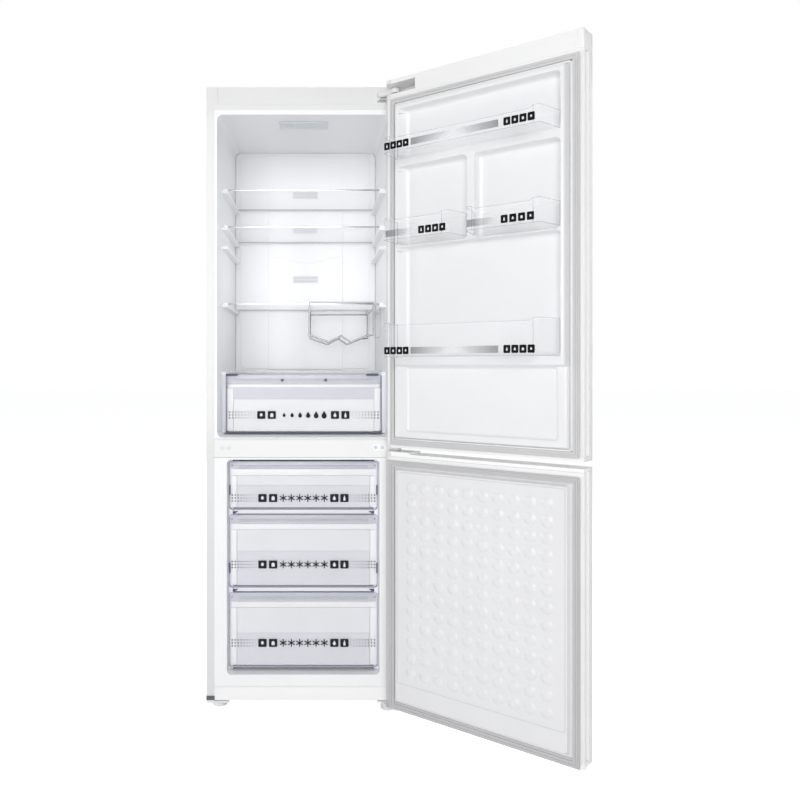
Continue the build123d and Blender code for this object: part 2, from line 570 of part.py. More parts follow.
def upper_liner_form(shrink=0.0):
    """The upper door's liner: pillars and ridges over a shallow panel, or the hollow of both."""
    start, joint = liner_foot(shrink), RIDGE_LOW + 14
    left, right = shrink - PILLAR_FOOT, HINGE_FOOT - shrink
    foot = (start, left, right, RIDGE_LOW - 10 + shrink, 1828 - shrink)
    crest = (DOOR_BACK + PILLAR_V - shrink, shrink - PILLAR_CREST, HINGE_CREST - shrink,
             RIDGE_LOW + shrink, 1820 - shrink)
    apron_foot = (start, left, right, APRON_LOW - 5 + shrink, joint)
    apron_crest = (DOOR_BACK + APRON_V - shrink, shrink - PILLAR_CREST, PANEL_CREST - shrink,
                   APRON_LOW + shrink, joint)
    return frustum(foot, crest, 10.0) + frustum(apron_foot, apron_crest, 5.0) - upper_pockets(shrink)


def lower_liner_form(shrink=0.0):
    """The shallow raised panel of the lower door's liner, or its hollow."""
    foot = (liner_foot(shrink), shrink - PILLAR_FOOT, HINGE_FOOT - shrink, 73 + shrink, 760 - shrink)
    crest = (DOOR_BACK + PANEL_V - shrink, shrink - PILLAR_CREST, PANEL_CREST - shrink,
             79 + shrink, 754 - shrink)
    return frustum(foot, crest, 10.0)


def door_liner(form, low, high):
    """Moulded sheet on the door's back with its raised form, hollow behind."""
    x0, x1 = -HALF + PROFILE_W + GAP, HALF - HINGE_MARGIN - GAP
    sheet = block(x0, x1, DOOR_BACK - WALL, DOOR_BACK, low, high)
    return sheet + form() - form(WALL)


def domes():
    """The grid of low domes on the lower door's liner."""
    sphere_r = (DOME_R ** 2 + DOME_H ** 2) / (2 * DOME_H)
    y = DOOR_BACK + PANEL_V + DOME_H - sphere_r
    slice_h = DOME_H + 0.5
    cap = Sphere(sphere_r) & Pos(0, sphere_r - slice_h / 2, 0) * Box(3 * DOME_R, slice_h, 3 * DOME_R)
    columns = [DOMES_X + (i - (DOME_COLUMNS - 1) / 2) * DOME_PITCH for i in range(DOME_COLUMNS)]
    rows = [DOMES_Z + (j - (DOME_ROWS - 1) / 2) * DOME_PITCH for j in range(DOME_ROWS)]
    return [Pos(x, y, z) * cap for x in columns for z in rows]


def door_foam(low, high, form):
    """Insulation between the skin and the liner, with room for the hinge bosses."""
    x0, x1 = -HALF + PROFILE_W + 2 * GAP, HALF - SHEET - 2 * GAP
    core = block(x0, x1, DOOR_FACE + SHEET + 3, DOOR_BACK - WALL - GAP, low, high) + form(WALL + GAP)
    for z0, z1 in ((low - 1, low + 10), (high - 16, high + 1)):
        core -= block(HINGE_X - 14, HALF, HINGE_Y - 14, HINGE_Y + 14, z0, z1)
    return core - beyond_chamfer(SHEET + 2 * GAP)


def door_bin(low, high, *ends):
    """Open bin that follows its pocket, then tapers to its front, walls and floor of one thickness."""
    def outline(inset):
        y = [DOOR_BACK + v for v in (BIN_BACK_V + inset, BIN_SHOULDER_V, BIN_FRONT_V - inset)]
        left, right = [x + inset for x in ends[0::2]], [x - inset for x in ends[1::2]]
        corners = [(right[2], y[2]), (left[2], y[2])]
        return [(left[0], y[0]), (right[0], y[0]), (right[1], y[1])] + corners + [(left[1], y[1])], corners
    outer, outer_corners = outline(0.0)
    inner, inner_corners = outline(BIN_WALL)
    body = plan_prism(outer, low, high, [(10, outer_corners)])
    return body - plan_prism(inner, low + BIN_WALL, high + 1, [(8, inner_corners)])


# ---------------------------------------------------------------- drawers
def drawer_tub(low, high, y_front, depth, half, rest):
    """Open tub with drafted walls, rounded corners and two runners under its floor."""
    def bowl(inset, floor, rim):
        middle = Pos(0, y_front + FRONT_T + depth / 2)
        wide = RectangleRounded(2 * (half - inset), depth - 2 * inset, TUB_R - inset)
        narrow = RectangleRounded(2 * (half - DRAFT - inset), depth - 10 - 2 * inset, TUB_R - inset)
        return loft([Plane.XY.offset(floor) * middle * narrow, Plane.XY.offset(rim) * middle * wide])
    z0, z1 = low + 8, high - 16
    y0, y1 = y_front + FRONT_T + 20, y_front + FRONT_T + depth - 20
    runners = [block(x - 3, x + 3, y0, y1, rest + GAP, z0 + 1) for x in (-half + 40, half - 40)]
    return bowl(0.0, z0, z1) - bowl(DRAWER_WALL, z0 + DRAWER_WALL, z1 + 0.01) + runners


def drawer_front(half, low, high, y_front):
    """Clear front plate with rounded corners and a lip along its top to pull by."""
    outline = upright(2 * half, high - low, 9, y_front + FRONT_T - GAP, (low + high) / 2)
    plate = extrude(outline, amount=FRONT_T - GAP)
    lip = block(-half + 30, half - 30, y_front - 7, y_front + 1, high - 22, high - 18)
    return plate + lip


# ---------------------------------------------------------------- the whole
def swing(part):
    """Open a door piece to the rest angle about the hinge axis."""
    return Pos(HINGE_X, HINGE_Y, 0) * Rot(0, 0, REST_ANGLE) * Pos(-HINGE_X, -HINGE_Y, 0) * part


def cabinet_nodes():
    """Every piece that belongs to the cabinet, by name."""
    nodes = {
        "cabinet_shell": cabinet_shell(), "back_panel": back_panel(), "base_pan": base_pan(),
        "fridge_liner": fridge_liner(), "freezer_liner": freezer_liner(), "cabinet_foam": cabinet_foam(),
        "mullion_rail": mullion_rail(), "kick_panel": kick_panel(), "air_duct_cover": air_duct_cover(),
        "ceiling_lamp_lens": ceiling_lamp_lens(), "crisper_cover": crisper_cover(),
        "freezer_shelves": freezer_shelves(), "bottle_rack": bottle_rack(),
        "evaporator_cover": evaporator_cover(), "evaporator": evaporator(),
        "evaporator_fan_motor": evaporator_fan_motor(), "evaporator_fan": evaporator_fan(),
        "compressor": compressor(), "compressor_mounts": compressor_mounts(),
        "condenser_coil": condenser_coil(), "drip_tray": drip_tray(), "machine_cover": machine_cover(),
        "electronics_box": electronics_box(), "top_hinge_bracket": top_hinge_bracket(),
        "top_hinge_cover": top_hinge_cover(), "middle_hinge_bracket": middle_hinge_bracket(),
        "lower_corner_brackets": group(lower_hinge_bracket(), left_corner_bracket()),
        "hinge_screws": hinge_screws(),
        "rear_roller_brackets": group(roller_bracket(-ROLLER_X), roller_bracket(ROLLER_X)),
        "left_rear_roller": rear_roller(-ROLLER_X), "right_rear_roller": rear_roller(ROLLER_X),
        "left_foot": levelling_foot(-FOOT_X, LEFT_FOOT_Y), "right_foot": levelling_foot(FOOT_X, RIGHT_FOOT_Y),
    }
    for name, level in SHELF_LEVELS.items():
        nodes["glass_shelf_" + name] = glass_shelf(level)
    for name, (half, low, high, y_front, depth, tub_half, rest) in DRAWERS.items():
        nodes[name + "_tub"] = drawer_tub(low, high, y_front, depth, tub_half, rest)
        nodes[name + "_front"] = drawer_front(half, low, high, y_front)
    return nodes


def door_nodes():
    """Every piece that swings with a door, drawn shut, by name."""
    upper_span = (UPPER_LOW + CAP_SHORT + GAP, UPPER_TOP - CAP_TALL - GAP)
    lower_span = (LOWER_LOW + CAP_SHORT + GAP, LOWER_TOP - CAP_SHORT - GAP)
    upper_bottom = end_cap(UPPER_LOW, UPPER_LOW + CAP_SHORT, UPPER_LOW + CAP_SHORT + 8, UPPER_LOW - 1, 836)
    upper_top = end_cap(UPPER_TOP - CAP_TALL, UPPER_TOP, UPPER_TOP - CAP_TALL - 14, 1847, 1870) - notch()
    upper_top -= block(-HALF + 5, 180, DOOR_FACE + 5, DOOR_BACK - 5, 0, UPPER_TOP - 3)
    lower_bottom = end_cap(LOWER_LOW, LOWER_LOW + CAP_SHORT, LOWER_LOW + CAP_SHORT + 8, LOWER_LOW - 1, 66)
    lower_top = end_cap(LOWER_TOP - CAP_SHORT, LOWER_TOP, LOWER_TOP - CAP_SHORT - 8, 788, LOWER_TOP + 1)
    step = block(-HALF - 1, SHOULDER_END, DOOR_FACE - 1, DOOR_BACK + 1,
                 LOWER_TOP - LOWER_SHOULDER, LOWER_TOP + 1)
    nodes = {
        "upper_door_skin": door_skin(UPPER_LOW, UPPER_TOP) - notch(),
        "upper_door_edge_profile": edge_profile(*upper_span),
        "upper_door_end_caps": group(upper_bottom, upper_top),
        "upper_door_liner": door_liner(upper_liner_form, *upper_span),
        "upper_door_gasket": gasket(827, 1850),
        "upper_door_foam": door_foam(*upper_span, upper_liner_form),
        "lower_door_skin": door_skin(LOWER_LOW, LOWER_TOP) - step,
        "lower_door_edge_profile": edge_profile(*lower_span),
        "lower_door_end_caps": group(lower_bottom, lower_top - step),
        "lower_door_liner": door_liner(lower_liner_form, *lower_span) + domes(),
        "lower_door_gasket": gasket(48, 780),
        "lower_door_foam": door_foam(*lower_span, lower_liner_form),
    }
    for name, sizes in BINS.items():
        nodes[name] = door_bin(*sizes)
    return nodes


def main():
    """Write one file for each node, in the rest pose."""
    os.makedirs("parts", exist_ok=True)
    to_origin = Pos(0, -CAB_D / 2, 0)
    nodes = cabinet_nodes()
    nodes.update({name: swing(part) for name, part in door_nodes().items()})
    for name, part in nodes.items():
        export_step(to_origin * part, os.path.join("parts", name + ".step"))
    print(len(nodes), "nodes written")


main()
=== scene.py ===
"""The looks of a white bottom freezer refrigerator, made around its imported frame.

Sizes are written in millimetres, measured from the cabinet's front plane: X to the right, Y to the back, Z up
from the floor. Door pieces are made shut and then turned open about the hinge, as the frame has them at rest.
"""

import json
import logging
import math
from dataclasses import dataclass, field
from enum import Enum
from typing import Dict, List, Optional, Sequence, Tuple

import bpy
from mathutils import Matrix, Vector


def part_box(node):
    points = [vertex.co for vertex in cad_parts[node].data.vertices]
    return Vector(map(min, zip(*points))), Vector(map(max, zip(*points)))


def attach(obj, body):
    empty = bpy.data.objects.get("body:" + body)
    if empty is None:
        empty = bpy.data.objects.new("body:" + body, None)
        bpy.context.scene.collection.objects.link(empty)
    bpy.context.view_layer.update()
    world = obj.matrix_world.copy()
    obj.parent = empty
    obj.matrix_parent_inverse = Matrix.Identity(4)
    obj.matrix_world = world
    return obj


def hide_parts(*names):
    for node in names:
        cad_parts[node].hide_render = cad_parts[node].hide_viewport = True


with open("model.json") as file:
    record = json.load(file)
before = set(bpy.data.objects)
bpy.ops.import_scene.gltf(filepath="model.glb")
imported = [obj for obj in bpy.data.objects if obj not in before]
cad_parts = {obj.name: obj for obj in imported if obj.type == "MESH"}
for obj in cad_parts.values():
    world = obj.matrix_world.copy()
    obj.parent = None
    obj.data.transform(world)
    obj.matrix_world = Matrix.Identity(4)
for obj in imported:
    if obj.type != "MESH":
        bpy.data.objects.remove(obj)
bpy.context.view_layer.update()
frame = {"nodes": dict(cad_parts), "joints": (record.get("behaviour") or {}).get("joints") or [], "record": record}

LOG = logging.getLogger("refrigerator")
MM = 0.001
JOINTS = {joint["name"]: joint for joint in frame["joints"]}
HINGE = Vector(JOINTS["upper_door_swing"]["pos_m"])
REST_TURN = -math.radians(JOINTS["upper_door_swing"]["range_deg"][0])
FRONT_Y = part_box("cabinet_shell")[0].y / MM
CABINET_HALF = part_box("cabinet_shell")[1].x / MM
DOOR_BACK = -9.0  # the shut door's inner side, an air gap in front of the cabinet
PIN = HINGE.to_2d().to_3d()
OPEN = Matrix.Translation(PIN) @ Matrix.Rotation(REST_TURN, 4, "Z") @ Matrix.Translation(-PIN)

SAME_LEVEL = 1e-5  # metres within which vertices count as one level
COAT_ROUGHNESS = 0.08
PATCH_SPREAD = 0.22  # share of the noise on either side of its middle over which a colour drifts
GLOSS_DRIFT = 0.12  # share by which the roughness drifts
BUMP_DEPTH = 0.0003  # metres

MATERIALS: Dict[str, bpy.types.Material] = {}
Piece = bpy.types.Object
Tree = bpy.types.NodeTree
Socket = bpy.types.NodeSocket
Point = Tuple[float, float, float]
Flat = Tuple[float, float]
Place = Tuple[float, float, float, float, float]


# ------------------------------------------------------------------ modelling
def at(x: float, y: float, z: float) -> Vector:
    """A point in metres, from millimetres off the cabinet's front plane."""
    return Vector((x, y + FRONT_Y, z)) * MM


def deselect() -> None:
    """Leave edit mode and deselect everything."""
    if bpy.context.mode != "OBJECT":
        bpy.ops.object.mode_set(mode="OBJECT")
    bpy.ops.object.select_all(action="DESELECT")


def take(piece: Piece) -> None:
    """Make one piece the only selected and the active one.

    Args:
        piece: the piece to take in hand.
    """
    deselect()
    piece.select_set(True)
    bpy.context.view_layer.objects.active = piece


def settle(piece: Piece, name: str) -> Piece:
    """Name a new piece and put its place into its mesh.

    Args:
        piece: the new object.
        name: its name.

    Returns:
        The same piece, at the origin.
    """
    take(piece)
    piece.name = piece.data.name = name
    bpy.ops.object.transform_apply(location=True, rotation=True, scale=True)
    return piece


def smooth(piece: Piece, angle: float = 32.0) -> Piece:
    """Shade a piece smooth where its faces meet gently.

    Args:
        piece: the piece to shade.
        angle: the greatest turn in degrees that is shaded smooth.

    Returns:
        The same piece.
    """
    take(piece)
    bpy.ops.object.shade_smooth_by_angle(angle=math.radians(angle))
    return piece


def bevel(piece: Piece, width: float, steps: int = 3, angle: float = 40.0) -> Piece:
    """Round the edges that turn by more than an angle.

    Args:
        piece: the piece to round.
        width: width of the rounding in millimetres.
        steps: faces across the rounding.
        angle: the least turn in degrees that counts as an edge.

    Returns:
        The rounded piece.
    """
    take(piece)
    modifier = piece.modifiers.new("rounding", "BEVEL")
    modifier.width = width * MM
    modifier.segments = steps
    modifier.limit_method = "ANGLE"
    modifier.angle_limit = math.radians(angle)
    bpy.ops.object.modifier_apply(modifier=modifier.name)
    return smooth(piece)


def box(name: str, low: Point, high: Point, rounding: float = 0.0, steps: int = 3) -> Piece:
    """A block between two corners, with its edges rounded.

    Args:
        name: name of the piece.
        low: lowest corner in millimetres.
        high: highest corner in millimetres.
        rounding: width of the rounding in millimetres, or 0.
        steps: faces across the rounding.

    Returns:
        The block.
    """
    deselect()
    a, b = at(*low), at(*high)
    bpy.ops.mesh.primitive_cube_add(size=1.0, location=(a + b) / 2)
    piece = bpy.context.object
    piece.scale = b - a
    settle(piece, name)
    return bevel(piece, rounding, steps) if rounding else piece


def prism(name: str, outline: Sequence[Point], along: Point, rounding: float = 0.0,
          steps: int = 3) -> Piece:
    """A flat outline carried along a vector.

    Args:
        name: name of the piece.
        outline: corners in millimetres, in order.
        along: the vector in millimetres.
        rounding: width of the rounding in millimetres, or 0.
        steps: faces across the rounding.

    Returns:
        The closed solid.
    """
    deselect()
    bpy.ops.mesh.primitive_circle_add(vertices=len(outline), radius=1.0, fill_type="NGON")
    piece = bpy.context.object
    for vertex, corner in zip(piece.data.vertices, outline):
        vertex.co = at(*corner)
    bpy.ops.object.mode_set(mode="EDIT")
    bpy.ops.mesh.select_all(action="SELECT")
    bpy.ops.mesh.extrude_region_move(TRANSFORM_OT_translate={"value": Vector(along) * MM})
    bpy.ops.mesh.select_all(action="SELECT")
    bpy.ops.mesh.normals_make_consistent(inside=False)
    bpy.ops.object.mode_set(mode="OBJECT")
    settle(piece, name)
    return bevel(piece, rounding, steps) if rounding else piece


def bar(name: str, start: Point, end: Point, radius: float, sides: int = 24, rounding: float = 0.0) -> Piece:
    """A round bar between two points.

    Args:
        name: name of the piece.
        start: middle of one end in millimetres.
        end: middle of the other end in millimetres.
        radius: radius in millimetres.
        sides: faces round it.
        rounding: width of the rounding of its ends in millimetres, or 0.

    Returns:
        The bar.
    """
    deselect()
    a, b = at(*start), at(*end)
    turn = (b - a).to_track_quat("Z", "Y").to_euler()
    bpy.ops.mesh.primitive_cylinder_add(vertices=sides, radius=radius * MM, depth=(b - a).length,
                                        location=(a + b) / 2, rotation=turn)
    piece = settle(bpy.context.object, name)
    return bevel(piece, rounding, 2) if rounding else smooth(piece)


def wire(name: str, points: Sequence[Point], radius: float, closed: bool = False,
         sides: int = 3) -> Piece:
    """A round wire along a line of points.

    Args:
        name: name of the piece.
        points: the line's points in millimetres.
        radius: radius of the wire in millimetres.
        closed: whether the line comes back to its start.
        sides: resolution of the wire's roundness.

    Returns:
        The wire as a mesh.
    """
    deselect()
    curve = bpy.data.curves.new(name, "CURVE")
    curve.dimensions = "3D"
    curve.bevel_depth = radius * MM
    curve.bevel_resolution = sides
    curve.use_fill_caps = True
    spline = curve.splines.new("POLY")
    spline.points.add(len(points) - 1)
    for spot, point in zip(spline.points, points):
        spot.co = (*at(*point), 1.0)
    spline.use_cyclic_u = closed
    piece = bpy.data.objects.new(name, curve)
    bpy.context.scene.collection.objects.link(piece)
    take(piece)
    bpy.ops.object.convert(target="MESH")
    return smooth(settle(bpy.context.object, name), 50.0)


def cut(piece: Piece, cutters: Sequence[Piece]) -> Piece:
    """Take the room of some cutters out of a piece, and throw the cutters away.

    Args:
        piece: the closed solid to cut.
        cutters: closed solids, taken out one after another.

    Returns:
        The same piece.
    """
    for cutter in cutters:
        take(piece)
        modifier = piece.modifiers.new("cut", "BOOLEAN")
        modifier.operation = "DIFFERENCE"
        modifier.solver = "EXACT"
        modifier.object = cutter
        bpy.ops.object.modifier_apply(modifier=modifier.name)
        bpy.data.objects.remove(cutter, do_unlink=True)
    return piece


def join(name: str, pieces: Sequence[Piece]) -> Piece:
    """Make several pieces one.

    Args:
        name: name of the whole.
        pieces: the pieces; the first takes up the others.

    Returns:
        The whole.
    """
    take(pieces[0])
    for piece in pieces:
        piece.select_set(True)
    if len(pieces) > 1:
        bpy.ops.object.join()
    whole = bpy.context.view_layer.objects.active
    whole.name = whole.data.name = name
    return whole


def copy_to(piece: Piece, name: str, shift: Point) -> Piece:
    """A copy of a piece with its own mesh.

    Args:
        piece: the piece to copy.
        name: name of the copy.
        shift: how far the copy is moved, in millimetres.

    Returns:
        The copy.
    """
    twin = piece.copy()
    twin.data = piece.data.copy()
    twin.name = twin.data.name = name
    bpy.context.scene.collection.objects.link(twin)
    twin.data.transform(Matrix.Translation(Vector(shift) * MM))
    return twin


def repeat(name: str, model: Piece, places: Sequence[Place]) -> Piece:
    """Copies of one modelled shape, each with its own mesh, joined into one piece; the model goes away.

    Args:
        name: name of the piece.
        model: the shape, at its first place or about the origin.
        places: each copy's way along X, Y and Z in millimetres, and its factors on X and Z.

    Returns:
        The piece.
    """
    zero = at(0, 0, 0)
    twins = []
    for x, y, z, across, up in places:
        twin = copy_to(model, name, (0, 0, 0))
        twin.data.transform(Matrix.Translation(zero + Vector((x, y, z)) * MM)
                            @ Matrix.Diagonal((across, 1.0, up, 1.0)) @ Matrix.Translation(-zero))
        if across * up < 0:
            twin.data.flip_normals()
        twins.append(twin)
    bpy.data.objects.remove(model, do_unlink=True)
    return join(name, twins)


def draft(piece: Piece, y: float, scale: Flat, shift: float = 0.0) -> Piece:
    """Narrow the end of a piece that lies at one depth.

    Args:
        piece: a piece whose sides are straight.
        y: depth of the end in millimetres.
        scale: factors on X and on Z about the end's own middle.
        shift: how far the end moves along X in millimetres.

    Returns:
        The same piece.
    """
    take(piece)
    level = at(0, y, 0).y
    bpy.ops.object.mode_set(mode="EDIT")
    bpy.ops.mesh.select_all(action="DESELECT")
    bpy.ops.object.mode_set(mode="OBJECT")
    chosen = [v for v in piece.data.vertices if abs(v.co.y - level) < SAME_LEVEL]
    for vertex in chosen:
        vertex.select = True
    middle = sum((v.co for v in chosen), Vector()) / len(chosen)
    bpy.ops.object.mode_set(mode="EDIT")
    bpy.ops.transform.resize(value=(scale[0], 1.0, scale[1]), center_override=middle)
    bpy.ops.transform.translate(value=(shift * MM, 0.0, 0.0))
    bpy.ops.object.mode_set(mode="OBJECT")
    return piece


def pocket(low: Point, high: Point, slope: float, corner: float, slant: float = 0.0) -> Piece:
    """A cutter for a moulded recess: wider at its mouth (the high depth) and rounded inside.

    Args:
        low: lowest corner of the mouth in millimetres, at the recess's floor.
        high: highest corner of the mouth in millimetres, beyond the surface.
        slope: how much the floor is narrower than the mouth on each side, in millimetres.
        corner: rounding of the corners and of the floor's edge in millimetres.
        slant: how much further in the floor's right end lies, where that differs from the slope.

    Returns:
        The cutter.
    """
    cutter = box("cutter", low, high)
    width, height, right = high[0] - low[0], high[2] - low[2], slant or slope
    draft(cutter, low[1], (1 - (slope + right) / width, 1 - 2 * slope / height), (slope - right) / 2)
    return bevel(cutter, corner, 5)


def arc(centre: Flat, radius: float, start: float, end: float, steps: int) -> List[Flat]:
    """Points of a circle's arc.

    Args:
        centre: the circle's middle in millimetres.
        radius: its radius in millimetres.
        start: angle of the first point in degrees.
        end: angle of the last point in degrees.
        steps: how many parts the arc is divided into.

    Returns:
        The points, in order.
    """
    angles = [math.radians(start + (end - start) * i / steps) for i in range(steps + 1)]
    return [(centre[0] + radius * math.cos(a), centre[1] + radius * math.sin(a)) for a in angles]


def rounded(x0: float, x1: float, z0: float, z1: float, radius: float, steps: int = 6) -> List[Flat]:
    """Points round a rectangle with rounded corners.

    Args:
        x0: left side in millimetres.
        x1: right side in millimetres.
        z0: lower side in millimetres.
        z1: upper side in millimetres.
        radius: radius of the corners in millimetres.
        steps: how many parts each corner is divided into.

    Returns:
        The points, anticlockwise from the lower right corner.
    """
    corners = [((x1 - radius, z0 + radius), 270), ((x1 - radius, z1 - radius), 0),
               ((x0 + radius, z1 - radius), 90), ((x0 + radius, z0 + radius), 180)]
    points: List[Flat] = []
    for centre, start in corners:
        points += arc(centre, radius, start, start + 90, steps)
    return points


# ------------------------------------------------------------------ finishes
@dataclass(frozen=True)
class Finish:
    """One surface finish, as a node material with constant values on the shader's own sockets.

    Attributes:
        name: name of the material.
        colour: base colour, linear.
        roughness: roughness of the surface.
        metallic: share of it that is bare metal.
        coat: weight of a clear coat.
        specular: level of its reflections.
        alpha: share of what lies behind it that it covers.
        mottle: how far the colour drifts, as a share of it, in soft patches.
        patch: size of those patches in metres.
        grain: strength of the fine bump, such as paint's orange peel or a moulding's texture.
        pitch: size of the bump's grains in metres.
        streak: factors that stretch the grains along X, Y and Z.
    """

    name: str
    colour: Point
    roughness: float = 0.4
    metallic: float = 0.0
    coat: float = 0.0
    specular: float = 0.5
    alpha: float = 1.0
    mottle: float = 0.012
    patch: float = 0.12
    grain: float = 0.08
    pitch: float = 0.0012
    streak: Point = (1.0, 1.0, 1.0)

    def material(self) -> bpy.types.Material:
        """Make the finish's material the first time it is asked for.

        Returns:
            The material.
        """
        if self.name in MATERIALS:
            return MATERIALS[self.name]
        made = MATERIALS[self.name] = bpy.data.materials.new(self.name)
        made.use_nodes = True
        shader = made.node_tree.nodes["Principled BSDF"]
        values = {"Base Color": (*self.colour, 1.0), "Roughness": self.roughness, "Metallic": self.metallic,
                  "Coat Weight": self.coat, "Coat Roughness": COAT_ROUGHNESS,
                  "Specular IOR Level": self.specular, "Alpha": self.alpha}
        for socket, value in values.items():
            shader.inputs[socket].default_value = value
        place = made.node_tree.nodes.new("ShaderNodeTexCoord").outputs["Object"]
        if self.mottle:
            self.patches(made.node_tree, shader, place)
        if self.grain:
            self.bumps(made.node_tree, shader, place)
        return made

    def patches(self, tree: Tree, shader: bpy.types.Node, place: Socket) -> None:
        """Let the colour and the gloss drift a little over the surface.

        Args:
            tree: the material's nodes.
            shader: its shader.
            place: the socket with the object's own coordinates.
        """
        noise = tree.nodes.new("ShaderNodeTexNoise")
        noise.inputs["Scale"].default_value = 1.0 / self.patch
        noise.inputs["Detail"].default_value = 4.0
        ramp = tree.nodes.new("ShaderNodeValToRGB")
        for element, side in zip(ramp.color_ramp.elements, (-1, 1)):
            element.color = (*[min(1.0, c * (1 + side * self.mottle)) for c in self.colour], 1.0)
            element.position = 0.5 + side * PATCH_SPREAD
        gloss = tree.nodes.new("ShaderNodeMapRange")
        gloss.inputs["To Min"].default_value = self.roughness * (1 - GLOSS_DRIFT)
        gloss.inputs["To Max"].default_value = min(1.0, self.roughness * (1 + GLOSS_DRIFT))
        tree.links.new(place, noise.inputs["Vector"])
        tree.links.new(noise.outputs["Fac"], ramp.inputs["Fac"])
        tree.links.new(ramp.outputs["Color"], shader.inputs["Base Color"])
        tree.links.new(noise.outputs["Fac"], gloss.inputs["Value"])
        tree.links.new(gloss.outputs["Result"], shader.inputs["Roughness"])

    def bumps(self, tree: Tree, shader: bpy.types.Node, place: Socket) -> None:
        """Give the surface its fine grain.

        Args:
            tree: the material's nodes.
            shader: its shader.
            place: the socket with the object's own coordinates.
        """
        stretch = tree.nodes.new("ShaderNodeMapping")
        stretch.inputs["Scale"].default_value = self.streak
        noise = tree.nodes.new("ShaderNodeTexNoise")
        noise.inputs["Scale"].default_value = 1.0 / self.pitch
        noise.inputs["Detail"].default_value = 2.0
        bump = tree.nodes.new("ShaderNodeBump")
        bump.inputs["Strength"].default_value = self.grain
        bump.inputs["Distance"].default_value = BUMP_DEPTH
        tree.links.new(place, stretch.inputs["Vector"])
        tree.links.new(stretch.outputs["Vector"], noise.inputs["Vector"])
        tree.links.new(noise.outputs["Fac"], bump.inputs["Height"])
        tree.links.new(bump.outputs["Normal"], shader.inputs["Normal"])


